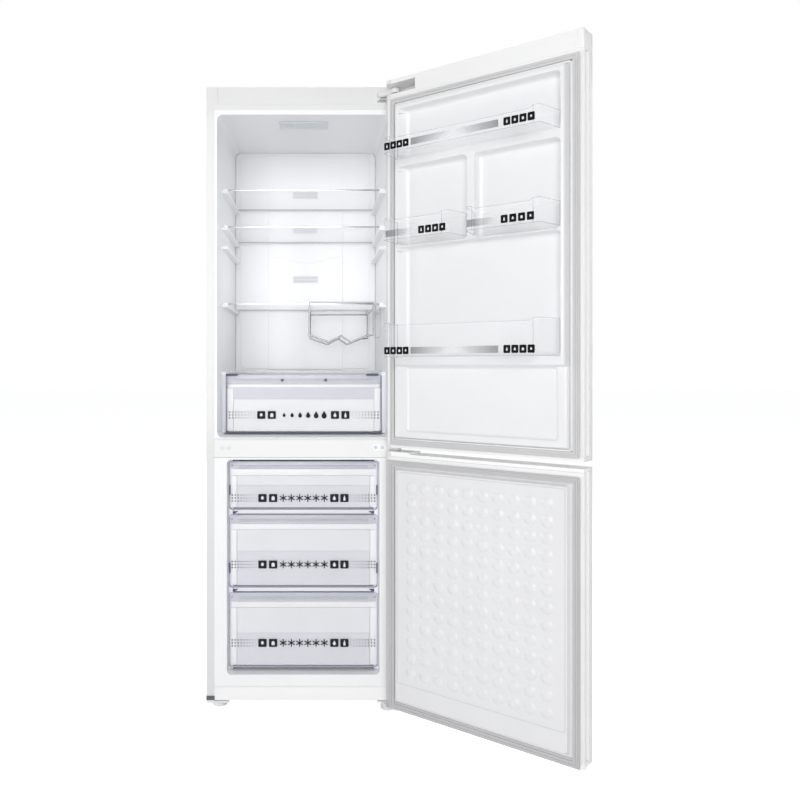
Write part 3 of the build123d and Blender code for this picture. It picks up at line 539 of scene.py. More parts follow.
class Finishes:
    """Every finish of the refrigerator."""

    STEEL = Finish("white_painted_steel", (0.77, 0.77, 0.766), 0.34, coat=0.25, grain=0.16, pitch=0.0022)
    EDGE = Finish("door_edge_white", (0.885, 0.885, 0.883), 0.42, grain=0.12, pitch=0.0008)
    LINER = Finish("moulded_liner_white", (0.842, 0.844, 0.852), 0.36, coat=0.12, grain=0.05, pitch=0.004)
    # Cabinet liners: written whiter than the door liner, as painted light against the shade inside the cabinet.
    INNER = Finish("cabinet_liner_white", (0.948, 0.953, 0.963), 0.4, coat=0.1, mottle=0.006, grain=0.05,
                   pitch=0.004)
    DOMED = Finish("domed_panel_white", (0.80, 0.80, 0.808), 0.36, coat=0.1, grain=0.04, pitch=0.004)
    TRIM = Finish("trim_white", (0.795, 0.795, 0.795), 0.38)
    BRIGHT = Finish("rail_white", (0.885, 0.885, 0.885), 0.4)
    # Near-full white: the plinth's own colour, and painted light on the lower door's end caps and the middle hinge
    # bracket, which sit in the shaded gap between the doors.
    PLINTH = Finish("plinth_white", (0.98, 0.98, 0.98), 0.4)
    SEAM = Finish("fine_seam", (0.42, 0.42, 0.43), 0.6)
    DUCT = Finish("duct_cover_white", (0.90, 0.905, 0.92), 0.45, mottle=0.006, grain=0.1, pitch=0.0009)
    LOUVRE = Finish("louvre_grey", (0.78, 0.785, 0.81), 0.5)
    LENS = Finish("frosted_lens", (0.80, 0.82, 0.87), 0.5, grain=0.3, pitch=0.003)
    REAR_STRIP = Finish("shelf_rear_grey", (0.50, 0.51, 0.53), 0.4)
    # The hinge bracket's plate: flat mid grey as painted shade, for the shadow under the hinge cover's arch.
    HINGE_PLATE = Finish("hinge_plate_grey", (0.50, 0.50, 0.51), 0.45)
    BEAD = Finish("liner_bead", (0.70, 0.705, 0.72), 0.4)
    GASKET = Finish("soft_gasket_grey", (0.64, 0.635, 0.64), 0.66, specular=0.3, mottle=0.02, grain=0.1)
    GASKET_DEEP = Finish("freezer_gasket_grey", (0.57, 0.565, 0.575), 0.66, specular=0.3, mottle=0.02,
                         grain=0.1)
    CLEAR = Finish("clear_moulding", (0.92, 0.93, 0.97), 0.1, alpha=0.12, grain=0.02, pitch=0.006)
    CLEAR_EDGE = Finish("clear_moulding_edge", (0.46, 0.49, 0.66), 0.18, alpha=0.5, grain=0.0)
    PALE_EDGE = Finish("pale_moulding_edge", (0.50, 0.52, 0.68), 0.18, alpha=0.55, grain=0.0)
    BIN = Finish("clear_bin", (0.95, 0.955, 0.98), 0.08, alpha=0.065, grain=0.02, pitch=0.006)
    BIN_EDGE = Finish("clear_bin_edge", (0.58, 0.60, 0.73), 0.18, alpha=0.45, grain=0.0)
    CLEAR_DEEP = Finish("clear_moulding_deep_edge", (0.05, 0.06, 0.13), 0.2, alpha=0.92, grain=0.0)
    # Lavender tint of the clear handle rails, also painted shade on the crisper's zone under its ledge.
    TINT = Finish("tinted_ledge", (0.82, 0.84, 0.92), 0.15, alpha=0.65, grain=0.02, pitch=0.006)
    # Pale sheet on the freezer drawers' zone under the ledge: painted light that hides the shade of the tub
    # behind.
    PAINTED_ZONE_LIGHT = Finish("pale_tinted_zone", (0.955, 0.96, 0.987), 0.15, alpha=0.9, grain=0.02, pitch=0.006)
    TUB = Finish("tub_moulding", (0.86, 0.875, 0.93), 0.22, alpha=0.5, grain=0.05, pitch=0.002)
    # Near-full white: the shelves' end clips, and painted highlights on the drawers' ledges and side bands, where
    # clear plastic catches the light.
    BAND = Finish("white_band", (0.975, 0.975, 0.985), 0.35)
    PANEL = Finish("white_label_panel", (0.90, 0.905, 0.955), 0.35, alpha=0.82, grain=0.03)
    CRISP_PANEL = Finish("bright_label_panel", (0.965, 0.965, 0.98), 0.35, alpha=0.93, grain=0.03)
    # Pale lavender white: painted light on pieces put where gaps would lie in shade.
    FROST = Finish("pale_freezer_trim", (0.86, 0.87, 0.92), 0.4)
    # Near-black navy: painted shadow for the shade in the gaps at the drawers' corners.
    SHADE = Finish("drawer_gap_dark", (0.05, 0.06, 0.13), 0.5)
    GLASS = Finish("pale_glass", (0.86, 0.93, 0.93), 0.05, alpha=0.1, grain=0.0)
    CHROME = Finish("polished_wire", (0.26, 0.26, 0.27), 0.2, metallic=1.0, grain=0.0)
    STRIP = Finish("satin_strip", (0.52, 0.52, 0.53), 0.25, metallic=0.9, grain=0.1,
                   streak=(0.05, 1.0, 1.0))
    INK = Finish("label_ink", (0.004, 0.004, 0.005), 0.6, specular=0.1, grain=0.0)
    INK_SOFT = Finish("label_ink_soft", (0.02, 0.023, 0.028), 0.6, specular=0.1, grain=0.0)
    DOTS = Finish("label_dots", (0.03, 0.035, 0.05), 0.6, specular=0.1, grain=0.0)
    HATCH = Finish("label_hatch", (0.05, 0.05, 0.06), 0.4, grain=0.0)
    MARK = Finish("label_mark", (0.80, 0.81, 0.83), 0.5, grain=0.0)
    HINGE = Finish("hinge_lilac_grey", (0.48, 0.48, 0.52), 0.35, metallic=0.5)
    DARK = Finish("dark_bracket", (0.10, 0.10, 0.11), 0.45)
    SCREW = Finish("screw_head", (0.55, 0.55, 0.57), 0.3, metallic=0.8)
    FOOT = Finish("white_foot", (0.84, 0.84, 0.85), 0.35)
    REAR = Finish("rear_sheet_grey", (0.55, 0.56, 0.57), 0.45, metallic=0.3, mottle=0.04, grain=0.2,
                  pitch=0.002)
    PAN = Finish("galvanised_pan", (0.46, 0.47, 0.49), 0.4, metallic=0.7, mottle=0.15, patch=0.012)
    BLACK = Finish("black_moulding", (0.03, 0.03, 0.032), 0.5, grain=0.25)
    ENAMEL = Finish("black_enamel", (0.02, 0.02, 0.022), 0.25, coat=0.4, grain=0.15, pitch=0.003)
    FINS = Finish("plain_aluminium", (0.62, 0.63, 0.64), 0.35, metallic=0.9, mottle=0.05)
    GREY = Finish("grey_moulding", (0.42, 0.43, 0.45), 0.5, grain=0.25)
    RUBBER = Finish("black_rubber", (0.02, 0.02, 0.02), 0.8, grain=0.3)
    FOAM = Finish("insulating_foam", (0.78, 0.70, 0.46), 0.9, mottle=0.1, patch=0.02, grain=0.8, pitch=0.004)


CAD_FINISH: Dict[str, Finish] = {
    "shell_white": Finishes.STEEL, "rear_steel": Finishes.REAR, "pan_steel": Finishes.PAN,
    "liner_white": Finishes.LINER, "trim_white": Finishes.TRIM, "edge_white": Finishes.EDGE,
    "lens": Finishes.LENS, "shelf_glass": Finishes.GLASS, "clear_plastic": Finishes.CLEAR,
    "tub_plastic": Finishes.TUB, "wire_chrome": Finishes.CHROME, "gasket_grey": Finishes.GASKET,
    "foam": Finishes.FOAM, "hinge_steel": Finishes.HINGE, "dark_steel": Finishes.ENAMEL,
    "fin_aluminium": Finishes.FINS, "mount_rubber": Finishes.RUBBER, "black_plastic": Finishes.BLACK,
    "grey_plastic": Finishes.GREY, "foot_white": Finishes.FOOT,
}
NODE_FINISH: Dict[str, Finish] = {
    # The cabinet's liners take the whiter finish as painted light against the shade inside.
    "air_duct_cover": Finishes.DUCT, "fridge_liner": Finishes.INNER, "freezer_liner": Finishes.INNER,
    # The middle hinge bracket and the lower door's end caps take near-full white as painted light against the
    # shade between the doors.
    "kick_panel": Finishes.PLINTH, "mullion_rail": Finishes.BRIGHT, "middle_hinge_bracket": Finishes.PLINTH,
    # The top hinge bracket's grey is painted shade under the cover's arch.
    "top_hinge_bracket": Finishes.HINGE_PLATE, "lower_door_liner": Finishes.DOMED,
    "lower_door_end_caps": Finishes.PLINTH, "lower_door_gasket": Finishes.GASKET_DEEP,
    "lower_corner_brackets": Finishes.FOOT,
}


def dress(piece: Piece, finish: Finish) -> Piece:
    """Give a piece one finish all over.

    Args:
        piece: the piece to dress.
        finish: its finish.

    Returns:
        The same piece.
    """
    piece.data.materials.clear()
    piece.data.materials.append(finish.material())
    return piece


def fit(piece: Piece, finish: Finish, body: str, opened: bool = False) -> Piece:
    """Dress a finished piece and put it on its body.

    Args:
        piece: the finished piece.
        finish: its finish.
        body: the CAD body that it rides on.
        opened: whether it was made on a shut door and now turns open with it.

    Returns:
        The same piece.
    """
    if opened:
        piece.data.transform(OPEN)
    dress(piece, finish)
    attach(piece, body)
    return piece


# ------------------------------------------------------------------ labels
class Glyph(Enum):
    """The plain marks that stand on the dark label squares."""

    BOTTLE = "bottle"
    DROP = "drop"
    EGG = "egg"
    CARTON = "carton"

    def outline(self, size: float) -> List[Flat]:
        """The mark's outline about its middle.

        Args:
            size: half of its height in millimetres.

        Returns:
            Its corners in X and Z, in order.
        """
        if self is Glyph.BOTTLE:
            half = [(.34, -.8), (.34, .1), (.13, .4), (.13, .8)]
            shape = half + [(-x, z) for x, z in reversed(half)]
        elif self is Glyph.DROP:
            shape = [(0, .8)] + arc((0, -.2), .5, 30, -210, 10)
        elif self is Glyph.EGG:
            turns = [math.tau * i / 14 for i in range(14)]
            shape = [(.45 * math.cos(a), (.62 if math.sin(a) > 0 else .5) * math.sin(a)) for a in turns]
        else:
            shape = [(-.5, -.7), (.5, -.7), (.5, .3), (0, .7), (-.5, .3)]
        return [(x * size, z * size) for x, z in shape]


@dataclass
class Label:
    """Flat marks on an upright face that looks along plus or minus Y.

    Attributes:
        y: depth of the face in millimetres.
        facing: -1 for a face seen from the front of the cabinet, 1 for one on a shut door's inner side.
        thickness: thickness of the marks in millimetres.
        gap: distance between the face and the marks in millimetres.
        corner: rounding of the dark squares' corners in millimetres.
        dot: radius of the largest dots in millimetres.
    """

    y: float
    facing: float
    thickness: float = 0.25
    gap: float = 0.12
    corner: float = 2.6
    dot: float = 2.4

    def model(self, outline: Sequence[Flat], lift: float = 0.0) -> Piece:
        """A flat mark about the origin.

        Args:
            outline: its corners in X and Z, in order.
            lift: how far it stands off the face beyond the usual gap, in millimetres.

        Returns:
            The mark.
        """
        y = self.facing * (self.gap + lift)
        return prism("mark", [(x, y, z) for x, z in outline], (0, self.facing * self.thickness, 0))

    def squares(self, name: str, middles: Sequence[float], z: float, size: Flat,
                mark: float) -> Tuple[Piece, Piece]:
        """A row of dark squares and, as a second piece, their marks.

        Args:
            name: first part of the two pieces' names.
            middles: X of each square's middle.
            z: height of the row's middle in millimetres.
            size: width and height of a square in millimetres.
            mark: height of the marks on them in millimetres.

        Returns:
            The squares and the marks.
        """
        across, up = size[0] / 2, size[1] / 2
        plate = self.model(rounded(-across, across, -up, up, self.corner, 3))
        plates = repeat(name + "_squares", plate, [(x, self.y, z, 1, 1) for x in middles])
        kinds = [Glyph.EGG, Glyph.CARTON, Glyph.DROP, Glyph.BOTTLE]
        marks = []
        for i, kind in enumerate(kinds):
            glyph = self.model(kind.outline(mark / 2), self.thickness)
            marks.append(repeat("marks", glyph, [(x, self.y, z, 1, 1) for x in middles[i::len(kinds)]]))
        return plates, join(name + "_marks", marks)

    def dots(self, name: str, x_dense: float, x_thin: float, z: float, rows: int = 3, columns: int = 9,
             pitch: float = 9.4) -> Piece:
        """A grid of dots that get smaller towards one side.

        Args:
            name: name of the piece.
            x_dense: X of the column with the largest dots.
            x_thin: X of the column with the smallest dots.
            z: height of the grid's middle in millimetres.
            rows: how many dots stand over each other.
            columns: how many dots stand side by side.
            pitch: distance of the rows in millimetres.

        Returns:
            The dots as one piece.
        """
        dot = self.model(arc((0, 0), self.dot, 0, 300, 5))
        places = []
        for i in range(columns):
            share = i / (columns - 1)
            x, factor = x_dense + (x_thin - x_dense) * share, 1 - 0.5 * share
            places += [(x, self.y, z + (j - (rows - 1) / 2) * pitch, factor, factor) for j in range(rows)]
        return repeat(name, dot, places)

    def hatch(self, name: str, x_dense: float, x_thin: float, z: float, height: float,
              lines: int = 9) -> Piece:
        """Level lines that run out to nothing towards one side, some sooner than others.

        Args:
            name: name of the piece.
            x_dense: X at which all lines start.
            x_thin: X at which the longest line would end.
            z: height of the strip's middle in millimetres.
            height: height of the strip in millimetres.
            lines: how many lines it has.

        Returns:
            The lines as one piece.
        """
        pitch, length, shortest, stride = height / lines, 100, 0.72, 5
        thick = pitch * 0.31
        thin = thick * 0.12
        line = self.model([(0, -thick), (length, -thin), (length, thin), (0, thick)])
        places = []
        for j in range(lines):
            reach = (x_thin - x_dense) * (shortest + (1 - shortest) * ((j * stride) % lines) / lines)
            places.append((x_dense, self.y, z - height / 2 + (j + 0.5) * pitch, reach / length, 1))
        return repeat(name, line, places)

    def stars(self, name: str, x0: float, x1: float, z: float, size: float, count: int) -> Piece:
        """A row of plain six-armed frost stars.

        Args:
            name: name of the piece.
            x0: left end of the row in millimetres.
            x1: right end of the row in millimetres.
            z: height of the row's middle in millimetres.
            size: width of a star in millimetres.
            count: how many stars the row has.

        Returns:
            The stars as one piece.
        """
        arms = []
        thin, layer = size * 0.065, 0.02
        for k in range(3):
            turn = math.radians(60 * k + 30)
            dx, dz = math.cos(turn) * size / 2, math.sin(turn) * size / 2
            nx, nz = -math.sin(turn) * thin, math.cos(turn) * thin
            arms.append(self.model([(-dx - nx, -dz - nz), (dx - nx, dz - nz), (dx + nx, dz + nz),
                                    (-dx + nx, -dz + nz)], layer * k))
        places = [(x0 + (x1 - x0) * (i + 0.5) / count, self.y, z, 1, 1) for i in range(count)]
        return repeat(name, join("star", arms), places)

    def drops(self, name: str, x0: float, x1: float, z: float, size: float, count: int) -> Piece:
        """A row of drops that grow from left to right.

        Args:
            name: name of the piece.
            x0: left end of the row in millimetres.
            x1: right end of the row in millimetres.
            z: height of the row's middle in millimetres.
            size: height of the largest drop in millimetres.
            count: how many drops the row has.

        Returns:
            The drops as one piece.
        """
        drop = self.model(Glyph.DROP.outline(size * 0.7))
        smallest = 0.55
        places = []
        for i in range(count):
            factor = smallest + (1 - smallest) * i / (count - 1)
            places.append((x0 + (x1 - x0) * (i + 0.5) / count, self.y, z, factor, factor))
        return repeat(name, drop, places)


# ------------------------------------------------------------------ shelves and cabinet
@dataclass
class GlassShelves:
    """The trims of the glass shelves: strips along the front and the back, and end clips.

    Attributes:
        names: the shelves' CAD nodes; all have one size.
        edge: rounding of the trims' edges in millimetres.
        clip_half: half the width of an end clip in millimetres.
    """

    names: Tuple[str, ...] = ("glass_shelf_upper", "glass_shelf_middle", "glass_shelf_lower")
    edge: float = 0.8
    clip_half: float = 8.5

    def build(self) -> None:
        """Make the trim of the first shelf and copy it to the others."""
        first = self.names[0]
        low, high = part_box(first)
        x1, y0, y1 = high.x / MM, low.y / MM - FRONT_Y, high.y / MM - FRONT_Y
        z0, z1 = low.z / MM, high.z / MM
        front = box(first + "_front_strip", (-x1 + 4, y0 - 2.6, z0 - 0.6), (x1 - 4, y0 - 0.2, z1 + 0.6),
                    self.edge, 2)
        rear = box(first + "_rear_strip", (-x1 + 6, y1 - 4, z1 + 0.1), (x1 - 6, y1 + 2, z1 + 4.5), 1.0, 2)
        clip = self.clip(y0, z0, z1)
        clips = repeat(first + "_end_clips", clip, [(side * (x1 + 0.5), 0, 0, 1, 1) for side in (-1, 1)])
        for piece, finish in ((front, Finishes.STRIP), (rear, Finishes.REAR_STRIP), (clips, Finishes.BAND)):
            for other in self.names[1:]:
                rise = (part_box(other)[1].z - high.z) / MM
                twin = copy_to(piece, piece.name.replace(first, other), (0, 0, rise))
                fit(twin, finish, "cabinet")
            fit(piece, finish, "cabinet")

    def clip(self, y: float, z0: float, z1: float) -> Piece:
        """One end clip: a jaw under the glass, one over it, and the cheek between them.

        Args:
            y: depth of the glass's front edge in millimetres.
            z0: height of the glass's lower side in millimetres.
            z1: height of the glass's upper side in millimetres.

        Returns:
            The clip, in the middle of the shelf.
        """
        half, under, over = self.clip_half, z0 - 2.2, z1 + 2.0
        jaws = [box("part", (-half, y - 3, a), (half, y + 12, b), self.edge, 2)
                for a, b in ((under, z0 - 0.2), (z1 + 0.2, over))]
        cheek = box("part", (-half, y - 5.2, under), (half, y - 2.8, over), self.edge, 2)
        return join("clip", jaws + [cheek])


@dataclass
class Cabinet:
    """The cabinet's own trim: header strip, caps, lamp, air duct cover, shelves and rear details.

    Attributes:
        half: half the cabinet's width in millimetres.
        flange: width of the shell's return at either side of the front.
        header_low: height of the header's lower edge.
        strip_low: height of the lower edge of the strip under it.
        caps_z: height of the cross rail's blank caps.
        rings_z: height of the rings round the middle hinge's screws.
        duct_face: depth of the air duct cover's face.
        duct_band: depth of the raised band along its middle.
        slots_z: heights of its slots.
        shadows_rise: how far the painted shadows in the drawers' corner gaps lie over the model between the upper
            two drawers.
        screws_z: heights of the rear panel's screws.
    """

    half: float = CABINET_HALF
    flange: float = 24.3
    header_low: float = 1864.0
    strip_low: float = 1847.0
    caps_z: float = 808.0
    rings_z: float = 810.0
    duct_face: float = 468.0
    duct_band: float = 463.0
    slots_z: Tuple[float, ...] = (1689, 1561, 1378)
    shadows_rise: Tuple[float, ...] = (161.5, 0, -243)
    screws_z: Tuple[float, ...] = (330, 700, 1100, 1500, 1880)

    def build(self) -> None:
        """Make every fixed detail of the cabinet."""
        self.front_trim()
        self.lamp()
        self.duct_cover()
        self.floor_of_fridge()
        self.rack_hook()
        self.freezer_marks()
        GlassShelves().build()
        self.rear()

    def put(self, piece: Piece, finish: Finish, slot: str = "trim_white") -> None:
        """Dress a piece and put it on the cabinet."""
        fit(piece, finish, "cabinet")

    def front_trim(self) -> None:
        """Strip and seam of the header, caps and screw rings of the cross rail, and the plinth's sill."""
        inner = self.half - self.flange
        strip = box("header_strip", (-inner, 0.3, self.strip_low), (inner, 1.1, self.header_low), 0.3, 1)
        self.put(strip, Finishes.TRIM)
        seam = box("header_seam", (-262.4, -0.12, self.header_low + 1), (-261.7, 0.05, 1916.5))
        self.put(seam, Finishes.SEAM, "shell_white")
        cap = bar("cap", (0, 0.2, 0), (0, -1.4, 0), 7.0, 24, 0.8)
        caps = repeat("rail_blank_caps", cap, [(x, 0, self.caps_z, 1, 1) for x in (-248, -228)])
        self.put(caps, Finishes.TRIM)
        ring = wire("ring", [(x, -3.8, z) for x, z in arc((0, 0), 4.6, 0, 345, 23)], 0.75, True, 1)
        rings = repeat("screw_rings", ring, [(x, 0, self.rings_z, 1, 1) for x in (222, 243)])
        self.put(rings, Finishes.SCREW, "hinge_steel")
        side = bar("flange_blank_cap", (-285, 0.2, 800.5), (-285, -1.0, 800.5), 5.5, 24, 0.6)
        self.put(side, Finishes.STEEL, "shell_white")
        self.put(box("kick_sill", (-inner, 0.05, 73.3), (inner, 0.95, 76.3), 0.3, 1), Finishes.BRIGHT)

    def lamp(self) -> None:
        """Frame and slats over the ceiling lamp's lens."""
        low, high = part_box("ceiling_lamp_lens")
        x1, y0, y1, z = high.x / MM, low.y / MM - FRONT_Y, high.y / MM - FRONT_Y, low.z / MM
        ends = [box("bar", (-x1 - 2, y0 - 1.5, z - 0.8), (x1 + 2, y0 + 1.5, z + 2.5), 0.6, 2),
                box("bar", (-x1 - 2, y1 - 3, z + 0.6), (x1 + 2, y1 + 0.5, z + 3.8), 0.6, 2)]
        slat = box("bar", (-1.2, y0 + 1, z - 0.6), (1.2, y1 - 1, z + 3.2), 0.6, 2)
        slats = repeat("slats", slat, [(x1 * k / 4, 0, 0, 1, 1) for k in range(-4, 5)])
        self.put(join("lamp_frame", ends + [slats]), Finishes.LENS, "lens")

    def duct_cover(self) -> None:
        """Raised rim, panel line, curved bead, slot rims and louvres of the air duct cover."""
        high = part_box("air_duct_cover")[1]
        half, z1 = high.x / MM, high.z / MM
        face, band = self.duct_face, self.duct_band
        outline = [(x, face - 0.2, z) for x, z in rounded(-half + 20, half - 20, 1052, z1 - 12, 22)]
        self.put(wire("duct_cover_rim", outline, 1.8, True), Finishes.DUCT)
        panel = [(x, face - 0.1, z) for x, z in rounded(-136, 136, 1046, 1730, 10)]
        self.put(wire("duct_panel_line", panel, 0.9, True, 1), Finishes.BEAD)
        middle, sag, wave = 1462, 24, 290
        curve = [(x, band - 0.1, middle - sag * math.cos(math.pi * x / wave) ** 2)
                 for x in range(-130, 131, 10)]
        self.put(wire("duct_cover_bead", curve, 1.3), Finishes.DUCT)
        ring = wire("rim", [(x, band - 0.1, h) for x, h in rounded(-48, 48, -15, 15, 5)], 1.1, True)
        self.put(repeat("duct_slot_rims", ring, [(0, 0, z, 1, 1) for z in self.slots_z]), Finishes.DUCT)
        louvre = box("louvre", (-43.5, band - 0.9, -2.1), (43.5, band + 1.0, 2.1), 0.5, 1)
        places = [(0, 0, z + dz, 1, 1) for z in self.slots_z for dz in range(-10, 11, 5)]
        self.put(repeat("duct_louvres", louvre, places), Finishes.LOUVRE)

    def floor_of_fridge(self) -> None:
        """The crisper cover's front strip, and pale pieces at both sides of the crisper as painted light over the
        shaded gaps beside it.
        """
        low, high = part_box("crisper_cover")
        x1, y0, z0, z1 = high.x / MM, low.y / MM - FRONT_Y, low.z / MM, high.z / MM
        strip = box("crisper_cover_strip", (-x1 + 1, y0 - 3, z0 - 1), (x1 - 1, y0 - 0.3, z1 + 1), 0.8, 2)
        self.put(strip, Finishes.CLEAR, "clear_plastic")
        # Painted light: pale pieces over the shaded gaps between the crisper's sides and the liner walls.
        filler = box("filler", (250.9, 105, 846), (264, 108, 1036), 0.8, 2)
        fillers = repeat("crisper_side_strips", filler, [(0, 0, 0, 1, 1), (-514.9, 0, 0, 1, 1)])
        self.put(fillers, Finishes.FROST)

    def rack_hook(self) -> None:
        """The clear loop that hangs from the lower shelf beside the wire rack."""
        x0, x1, top, low, y, radius = 233, 249, 1256.0, 1158.0, 140.0, 8
        turn = [(x, y, z) for x, z in arc((x0 + radius, low), radius, 180, 360, 8)]
        loop = wire("shelf_loop", [(x0, y, top), (x0, y, low)] + turn + [(x1, y, top)], 1.8)
        self.put(loop, Finishes.BIN_EDGE, "clear_plastic")

    def freezer_marks(self) -> None:
        """Pale strips along the freezer's shelves and walls, painted light in the shaded gaps round the drawers,
        and painted shadows in the drawers' corners.
        """
        # Painted light: pale strips where the gaps under the freezer shelves and beside the drawers lie in shade.
        strips = [box("strip", (-218, 41, z0), (218, 44, z1), 0.8, 2)
                  for z0, z1 in ((598.0, 610.4), (355.0, 367.2))]
        wall = box("strip", (219.5, 40.5, 114), (234.3, 43.5, 769), 0.8, 2)
        strips.append(repeat("strips", wall, [(0, 0, 0, 1, 1), (-453.8, 0, 0, 1, 1)]))
        self.put(join("freezer_strips", strips), Finishes.FROST)
        # Painted shadow: dark wedges for the shade in the gaps at the corners between the freezer drawers.
        corners = [(203, 39.9, 606.5), (221, 39.9, 606.5), (221, 39.9, 599), (214, 39.9, 599)]
        wedge = prism("wedge", corners, (0, 0.8, 0))
        places = [(0, 0, rise, side, 1) for rise in self.shadows_rise for side in (1, -1)]
        self.put(repeat("freezer_corner_stops", wedge, places), Finishes.SHADE)

    def rear(self) -> None:
        """Fixing screws of the rear panel."""
        screw = bar("screw", (0, 599, 0), (0, 600, 0), 5, 12, 0.4)
        places = [(x, 0, z, 1, 1) for x in (-283, 283) for z in self.screws_z]
        self.put(repeat("rear_panel_screws", screw, places), Finishes.SCREW, "hinge_steel")


# ------------------------------------------------------------------ drawers
@dataclass
class Drawer:
    """A clear drawer: front plate with its rim, handle rail and ledge, tub edges, and label.

    Attributes:
        body: the drawer's CAD body; its two nodes are named after it.
        label_z: height of the label row's middle in millimetres.
        ledge: high and low edge of the ledge, white as a painted highlight, in millimetres above the floor.
        shade: low edge of the zone under the ledge: painted shade on the crisper, painted light on the freezer
            drawers.
        squares: X of the squares' middles, from the left.
        dots: X of the densest and of the thinnest column of dots.
        frosty: whether the label shows frost stars rather than drops.
        rivets: X of the small round marks in the handle rail.
        side: width of the white band at either side, a painted highlight.
        sides_dark: low and high edge of the dark marks at both sides, if it has them.
        thick: thickness of the clear plate.
        inside: depth of the white pieces' fronts behind the plate.
        turn: rounding of the corners of the tinted edge.
        square: width and height of a label square.
        glyph: height of the marks on the squares.
        row: X of the middle row's left and right end.
        row_size: size of a star or drop in that row.
        row_count: how many stars or drops it has.
        x: half the width of the front, read from the frame, as the next three are.
        y: depth of the plate's back.
        z0: height of the front's lower edge.
        z1: height of the front's upper edge.
    """

    body: str
    label_z: float
    ledge: Flat
    shade: float
    squares: Tuple[float, ...] = (-127.8, -94.5, 96.5, 128.0)
    dots: Flat = (222.0, 148.0)
    frosty: bool = True
    rivets: Flat = (-222.0, 222.0)
    side: float = 25.0
    sides_dark: Optional[Flat] = None
    thick: float = 3.2
    inside: float = 0.4
    turn: float = 8.4
    square: Flat = (26.0, 25.0)
    glyph: float = 19.0
    row: Flat = (-76.0, 78.0)
    row_size: float = 24.0
    row_count: int = 6
    x: float = field(default=0.0, init=False)
    y: float = field(default=0.0, init=False)
    z0: float = field(default=0.0, init=False)
    z1: float = field(default=0.0, init=False)

    def build(self) -> None:
        """Make the drawer's pieces round its tub."""
        low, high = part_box(self.body + "_front")
        self.x, self.z0, self.z1 = high.x / MM, low.z / MM, high.z / MM
        self.y = high.y / MM - FRONT_Y
        self.plate()
        self.rails()
        self.marks()
        self.rims()
        self.tub_edges()
        self.label()

    def put(self, piece: Piece, finish: Finish, slot: str = "clear_plastic") -> None:
        """Dress a piece and put it on the drawer."""
        fit(piece, finish, self.body)

    def name(self, part: str) -> str:
        """The name of one of the drawer's pieces."""
        return f"{self.body}_{part}"

    def plate(self) -> None:
        """The clear plate and the lip to pull it by, in place of the CAD front."""
        x, y, z0, z1 = self.x, self.y, self.z0, self.z1
        outline = [(px, y, pz) for px, pz in rounded(-x, x, z0, z1, 9)]
        plate = prism("plate", outline, (0, -self.thick, 0), 0.8, 2)
        lip = box("lip", (-x + 30, y - 10.6, z1 - 22), (x - 30, y - 2.8, z1 - 18), 1.4, 3)
        whole = join(self.name("plate"), [plate, lip])
        self.put(whole, Finishes.CLEAR)
        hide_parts(self.body + "_front")

    def rails(self) -> None:
        """Behind the plate: the tinted handle rail; the ledge and the sides, white as painted highlights; the zone
        under the ledge, painted shade on the crisper and painted light on the freezer drawers.
        """
        x, y, z0, z1 = self.x, self.y + self.inside, self.z0 + 7, self.z1 - 3
        top, low, deep, inner = self.ledge[0], self.ledge[1], self.shade, self.x - self.side
        rail = box(self.name("handle_rail"), (-x + 4, y, top + 0.4), (x - 4, y + 10, z1), 2.5, 3)
        self.put(rail, Finishes.TINT)
        # The ledge's white is a painted highlight of its top lit from above; the side bands' white paints light
        # bent in the clear sides.
        self.put(box(self.name("ledge"), (-x + 5, y, low), (x - 5, y + 12, top), 3.0, 4), Finishes.BAND)
        # Zone under the ledge: painted shade on the crisper, painted light over the dark tub on the freezer
        # drawers.
        shade = box(self.name("shade"), (-inner, y, deep), (inner, y + 1.4, low - 0.4), 0.5, 1)
        self.put(shade, Finishes.PAINTED_ZONE_LIGHT if self.frosty else Finishes.TINT)
        left, right = inner + 0.5, x - 3.5
        band = box("side", (left, y, z0), (right, y + 6, low - 0.5), 2.8, 3)
        bands = repeat(self.name("side_bands"), band, [(0, 0, 0, 1, 1), (-(left + right), 0, 0, 1, 1)])
        self.put(bands, Finishes.BAND)
        panel = box(self.name("label_panel"), (-inner, y, z0), (inner, y + 1.0, deep - 0.4), 0.4, 1)
        self.put(panel, Finishes.PANEL if self.frosty else Finishes.CRISP_PANEL)

    def marks(self) -> None:
        """The small round marks of the rail, the dark marks at both sides and, on the crisper, painted shadows in
        the gaps at its top corners.
        """
        y, high, radius = self.y - 3.8, self.z1 - 14, 3.0
        if not self.frosty:
            y, high, radius = self.y - 10.8, self.z1 - 19, 5.0
        rivet = bar("rivet", (0, y, high), (0, y - 0.8, high), radius, 20, 0.4)
        rivets = repeat(self.name("rivets"), rivet, [(x, 0, 0, 1, 1) for x in self.rivets])
        self.put(rivets, Finishes.CLEAR_EDGE if self.frosty else Finishes.CLEAR_DEEP)
        if self.sides_dark:
            low, top = self.sides_dark
            mark = box("mark", (-2.2, y, low), (2.2, y + 0.5, top), 0.2, 1)
            places = [(side * (self.x - 2.4), 0, 0, 1, 1) for side in (-1, 1)]
            self.put(repeat(self.name("side_marks"), mark, places), Finishes.CLEAR_DEEP)
        # Painted shadow: dark pieces for the shade in the gaps between the crisper cover's trim and the liner at
        # its top corners.
        if not self.frosty:
            gap_shadows = [box("tab", (a, y, self.z1 - 5.6), (b, y + 0.6, self.z1 + 1.6), 0.3, 1)
                    for a, b in ((-249.3, -211), (200, 238.5))]
            self.put(join(self.name("corner_tabs"), gap_shadows), Finishes.SHADE)

